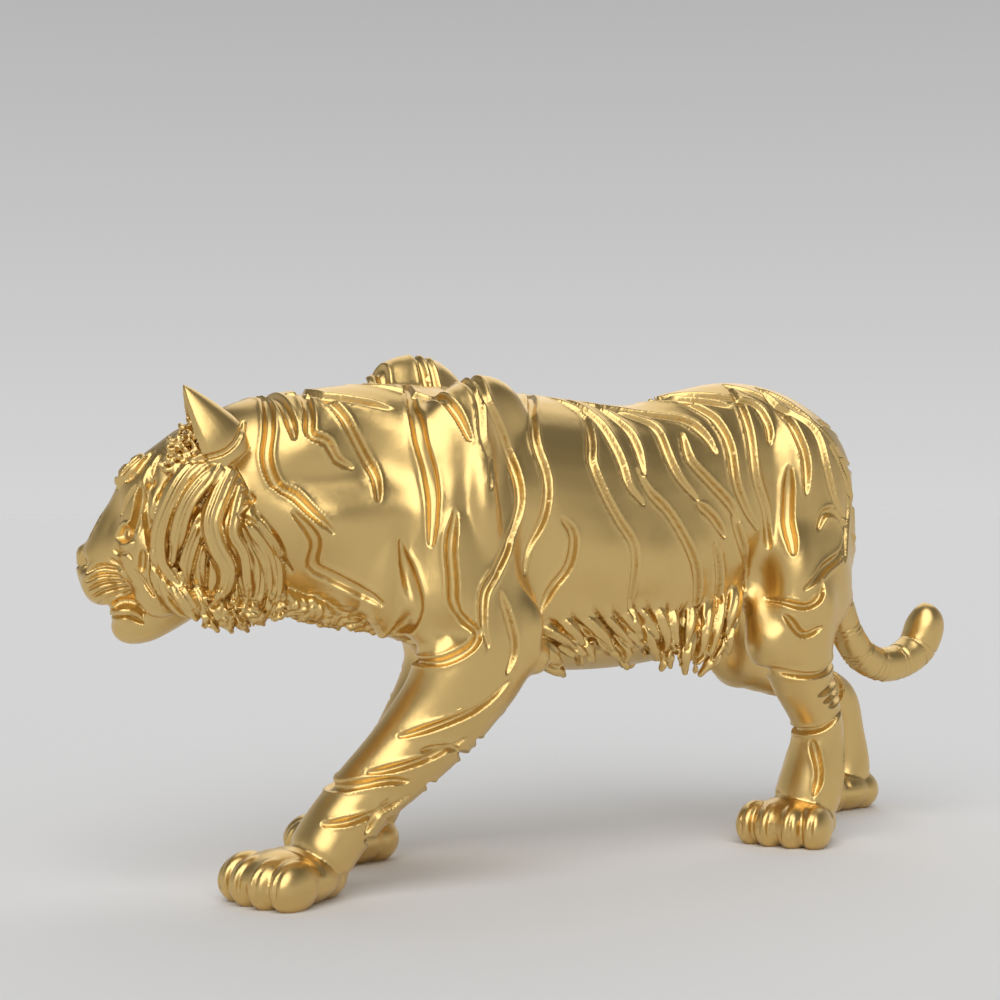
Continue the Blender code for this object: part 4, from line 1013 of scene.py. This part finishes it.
def stripe_heights(points):
    """Heights of the stripes on both flanks, over the spine, behind the thighs and on the legs."""
    flat = points[:, [0, 2]]
    unrolled = flat.copy()
    near_spine = np.clip(SPINE_HALF - np.abs(points[:, 1]), 0, None) * (points[:, 2] > BACK_UP)
    unrolled[:, 1] += SPINE_SHARE * near_spine
    left, right = points[:, 1] > 0, points[:, 1] < 0
    heights = np.zeros(len(points))
    for line in STRIPES:
        line = np.array(line, float)
        if line[0, 1] >= SPINE_UP:
            climb = line[0] - line[1]
            line = np.vstack([line[0] + climb * SPINE_RUN / np.linalg.norm(climb), line])
        heights = deepest(heights, furrow(unrolled, line, STRIPE_HALF, STRIPE_LIP))
    behind = np.flatnonzero(points[:, 0] < RUMP_AT)
    for line in RUMP_STRIPES:
        across = np.column_stack([np.abs(points[behind, 1]), points[behind, 2]])
        heights[behind] = deepest(heights[behind], furrow(across, line, LEG_STRIPE_HALF, STRIPE_LIP))
    for line in LEFT_LEG_STRIPES:
        heights = deepest(heights, furrow(flat, line, LEG_STRIPE_HALF, STRIPE_LIP) * left)
    for rows, stripes in ((RIGHT_FORELEG, FORELEG_STRIPES), (RIGHT_HINDLEG, HINDLEG_STRIPES)):
        for line in stripes:
            across = furrow(flat, limb_line(rows, line), LEG_STRIPE_HALF, STRIPE_LIP)
            heights = deepest(heights, across * right)
    return heights * STRIPE_DEPTH


def tail_heights(points):
    """Heights of the tail's rings: a bell curve at even steps along its path."""
    path = smooth_path(TAIL, 2.0)[:, :3]
    run = np.concatenate([[0], np.cumsum(np.linalg.norm(np.diff(path, axis=0), axis=1))])
    heights = np.zeros(len(points))
    behind = (points[:, 0] < TAIL_FROM) & (np.abs(points[:, 1]) < TAIL_REACH)
    tail = np.flatnonzero(behind & (points[:, 2] < TAIL_RING_UP))
    nearest = np.linalg.norm(points[tail, None] - path[None], axis=2).argmin(axis=1)
    ahead = np.gradient(path, axis=0)[nearest]
    place = run[nearest] + ((points[tail] - path[nearest]) * ahead).sum(axis=1)
    step, half, depth = TAIL_RING
    aside = (place + step / 2) % step - step / 2
    heights[tail] = -depth * np.exp(-(aside / half) ** 2) * (place < run[-1] - step)
    return heights


def face_heights(points):
    """Heights of the furrows, ridges and hollows of both sides of the face."""
    local = turned(points - HEAD_AT, yaw=-HEAD_TURN)
    flat = local[:, [0, 2]]
    local[:, 1] = np.abs(local[:, 1])
    beside = np.clip((local[:, 1] - 1.5) / 2, 0, 1)
    heights = np.zeros(len(points))
    for half, height, line in FACE_RIDGES:
        heights = np.maximum(heights, -height * furrow(flat, line, half))
    for half, depth, line in FACE_FURROWS:
        heights = deepest(heights, depth * furrow(flat, line, half))
    heights *= beside
    ahead = np.clip((local[:, 0] - 4) / 3, 0, 1) * np.clip((8 - local[:, 1]) / 2, 0, 1)
    for half, depth, line in FRONT_FURROWS:
        heights = deepest(heights, depth * furrow(local[:, [1, 2]], line, half) * ahead)
    for centre, half, depth in FACE_HOLLOWS:
        heights -= depth * np.exp(-(((local - centre) / half) ** 2).sum(axis=1))
    return heights


def relief_heights(points):
    """Heights of the soft bulges and hollows of the flanks: a bell curve round each middle."""
    aside = np.clip((np.abs(points[:, 1]) - 6) / 6, 0, 1)
    heights = np.zeros(len(points))
    for along, up, long, tall, height in RELIEF:
        heights += height * np.exp(-((points[:, 0] - along) / long) ** 2 - ((points[:, 2] - up) / tall) ** 2)
    return heights * aside * RELIEF_GAIN


def parted(mesh, point, direction, above=-1.0):
    """A copy of the mesh with what lies ahead of a plane taken off and the cut closed flat.

    Only what lies above a height is cut, so a plane behind the head spares the paw in front of it.
    """
    clay = bmesh.new()
    clay.from_mesh(mesh)
    faces = [face for face in clay.faces if all(vert.co.z > above for vert in face.verts)]
    geometry = list(dict.fromkeys(item for face in faces for item in (*face.verts, *face.edges))) + faces
    cut = bmesh.ops.bisect_plane(clay, geom=geometry, plane_co=point, plane_no=direction, clear_outer=True)
    rim = [item for item in cut["geom_cut"] if isinstance(item, bmesh.types.BMEdge)]
    if rim:
        fill = bmesh.ops.triangle_fill(clay, edges=rim, use_beauty=True, normal=direction)
        for edge in rim:
            edge.smooth = False
        for item in fill["geom"]:
            if isinstance(item, bmesh.types.BMFace):
                item.smooth = False
    part = bpy.data.meshes.new(mesh.name)
    clay.to_mesh(part)
    clay.free()
    return part


def dressed(skin, forms, cell, most):
    """A skin and finer forms fused, furrowed along the normals, softened and thinned."""
    points, triangles = fused([skin] + forms, cell, DRESSED_PASSES)
    heights = stripe_heights(points) + face_heights(points) + claw_heights(points)
    heights += ruff_heights(points) + fringe_heights(points) + crumple_heights(points) + tail_heights(points)
    points += normals_of(points, triangles) * heights[:, None]
    thinning = ("DECIMATE", {"ratio": min(1.0, most / len(triangles))})
    points, triangles = worked(points, triangles, softening(DRESSED_PASSES), thinning)
    return in_place(points, largest_shell(points, triangles))


def largest_shell(points, triangles):
    """The triangles without loose crumbs: those that hang together with most of the others."""
    label = np.arange(len(points))
    while True:
        least = label[triangles].min(axis=1)
        fresh = label.copy()
        for k in range(3):
            np.minimum.at(fresh, triangles[:, k], least)
        fresh = fresh[fresh]
        if np.array_equal(fresh, label):
            break
        label = fresh
    main = np.bincount(label[triangles[:, 0]]).argmax()
    return triangles[label[triangles[:, 0]] == main]


def in_place(points, triangles):
    """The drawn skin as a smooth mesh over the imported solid, without its unused points."""
    used = np.unique(triangles)
    fresh = np.zeros(len(points), np.int64)
    fresh[used] = np.arange(len(used))
    mesh = mesh_of("casting", (points[used] - DRAWN_MIDDLE) * SCALE, fresh[triangles])
    mesh.polygons.foreach_set("use_smooth", np.ones(len(mesh.polygons), bool))
    return mesh


def gold_finish():
    """Satin gold paint, its skin a little uneven: a noise bump on the piece's own coordinates."""
    material = bpy.data.materials.new("gold_paint")
    material.use_nodes = True
    nodes, links = material.node_tree.nodes, material.node_tree.links
    shader = nodes["Principled BSDF"]
    shader.inputs["Metallic"].default_value = 1.0
    shader.inputs["Roughness"].default_value = GOLD_ROUGHNESS
    shader.inputs["Base Color"].default_value = GOLD
    place = nodes.new("ShaderNodeTexCoord")
    grain = nodes.new("ShaderNodeTexNoise")
    grain.inputs["Scale"].default_value = GRAIN_SCALE
    grain.inputs["Detail"].default_value = 3.0
    links.new(place.outputs["Object"], grain.inputs["Vector"])
    bump = nodes.new("ShaderNodeBump")
    bump.inputs["Strength"].default_value = GRAIN_STRENGTH
    bump.inputs["Distance"].default_value = GRAIN_DEPTH
    links.new(grain.outputs["Fac"], bump.inputs["Height"])
    links.new(bump.outputs["Normal"], shader.inputs["Normal"])
    return material


def piece(name, mesh, material):
    """Makes one piece of the casting, set on the root body in place of the plain solid."""
    mesh.name = name
    mesh.materials.clear()
    mesh.materials.append(material)
    item = bpy.data.objects.new(name, mesh)
    bpy.context.scene.collection.objects.link(item)
    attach(item, "root")
    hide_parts("tiger")


def casting():
    """The figurine's three pieces: head with its ruff, forebody and hindbody.

    The trunk is softened first, then dressed twice: finely for the head on a spare length of neck,
    and more coarsely as a whole. The whole is cut flat at the floor and parted behind the ruff and
    across the belly.
    """
    points, triangles = fused(body_masses(), SOFT_CELL, TRUNK_PASSES)
    points += normals_of(points, triangles) * relief_heights(points)[:, None]
    whole = mesh_of("skin", points, triangles)
    facing = turned(np.array([[1.0, 0, 0]]), yaw=HEAD_TURN)[0]
    neck = parted(whole, HEAD_AT + facing * (NECK_PART - NECK_SPARE), -facing)
    head_forms = [fused(head_masses(), HEAD_CELL, HEAD_PASSES), ear(1), ear(-1)]
    head_forms += ruff() + brow_curls() + chest_tufts()
    body_forms = fringe() + elbow_tufts()
    for place in PAWS.values():
        body_forms += paw(*place)
    head = dressed(arrays_of(neck), head_forms, FACE_CELL, HEAD_TRIANGLES)
    body = dressed((points, triangles), head_forms + body_forms, BODY_CELL, BODY_TRIANGLES)
    behind_ruff = (HEAD_AT + facing * NECK_PART - DRAWN_MIDDLE) * SCALE
    belly = ((BELLY_PART - DRAWN_MIDDLE[0]) * SCALE, 0, 0)
    trunk = parted(parted(body, (0, 0, 0), (0, 0, -1)), behind_ruff, facing, SHIN * SCALE)
    gold = gold_finish()
    piece("tiger_head", parted(head, behind_ruff - facing * NECK_LAP * SCALE, -facing), gold)
    piece("tiger_forebody", parted(trunk, belly, (-1, 0, 0)), gold)
    piece("tiger_hindbody", parted(trunk, belly, (1, 0, 0)), gold)


def studio():
    """Pale floor, pale sky that darkens overhead, and two broad soft suns."""
    mesh = bpy.data.meshes.new("floor")
    corners = [(x * FLOOR_HALF, y * FLOOR_HALF, 0) for x, y in ((-1, -1), (1, -1), (1, 1), (-1, 1))]
    mesh.from_pydata(corners, [], [(0, 1, 2, 3)])
    floor = bpy.data.objects.new("floor", mesh)
    bpy.context.scene.collection.objects.link(floor)
    paint = bpy.data.materials.new("floor_paint")
    paint.use_nodes = True
    shader = paint.node_tree.nodes["Principled BSDF"]
    shader.inputs["Base Color"].default_value = (FLOOR_GREY, FLOOR_GREY, FLOOR_GREY, 1)
    shader.inputs["Roughness"].default_value = FLOOR_ROUGHNESS
    mesh.materials.append(paint)
    world = bpy.data.worlds.new("studio")
    bpy.context.scene.world = world
    world.use_nodes = True
    nodes, links = world.node_tree.nodes, world.node_tree.links
    place = nodes.new("ShaderNodeTexCoord")
    split = nodes.new("ShaderNodeSeparateXYZ")
    ramp = nodes.new("ShaderNodeValToRGB")
    for element, (position, grey) in zip(ramp.color_ramp.elements, SKY):
        element.position = position
        element.color = (grey, grey, grey, 1)
    links.new(place.outputs["Generated"], split.inputs["Vector"])
    links.new(split.outputs["Z"], ramp.inputs["Fac"])
    links.new(ramp.outputs["Color"], nodes["Background"].inputs["Color"])
    for name, from_where, wide, strength in SUNS:
        lamp = bpy.data.lights.new(name, "SUN")
        lamp.angle = math.radians(wide)
        lamp.energy = strength
        item = bpy.data.objects.new(name, lamp)
        item.rotation_euler = Vector(from_where).to_track_quat("Z", "Y").to_euler()
        bpy.context.scene.collection.objects.link(item)


def photo_camera():
    """The photograph's camera: level, 453 mm out on the tiger's left and ahead of its middle."""
    data = bpy.data.cameras.new("photo")
    data.lens = CAMERA_LENS
    data.sensor_width = 36.0
    item = bpy.data.objects.new("photo", data)
    item.location = (np.array(CAMERA_AT) - DRAWN_MIDDLE) * SCALE
    item.rotation_euler = Vector(CAMERA_LOOK).to_track_quat("-Z", "Y").to_euler()
    bpy.context.scene.collection.objects.link(item)
    bpy.context.scene.camera = item


casting()
studio()
photo_camera()
bpy.context.scene.view_settings.view_transform = "Standard"
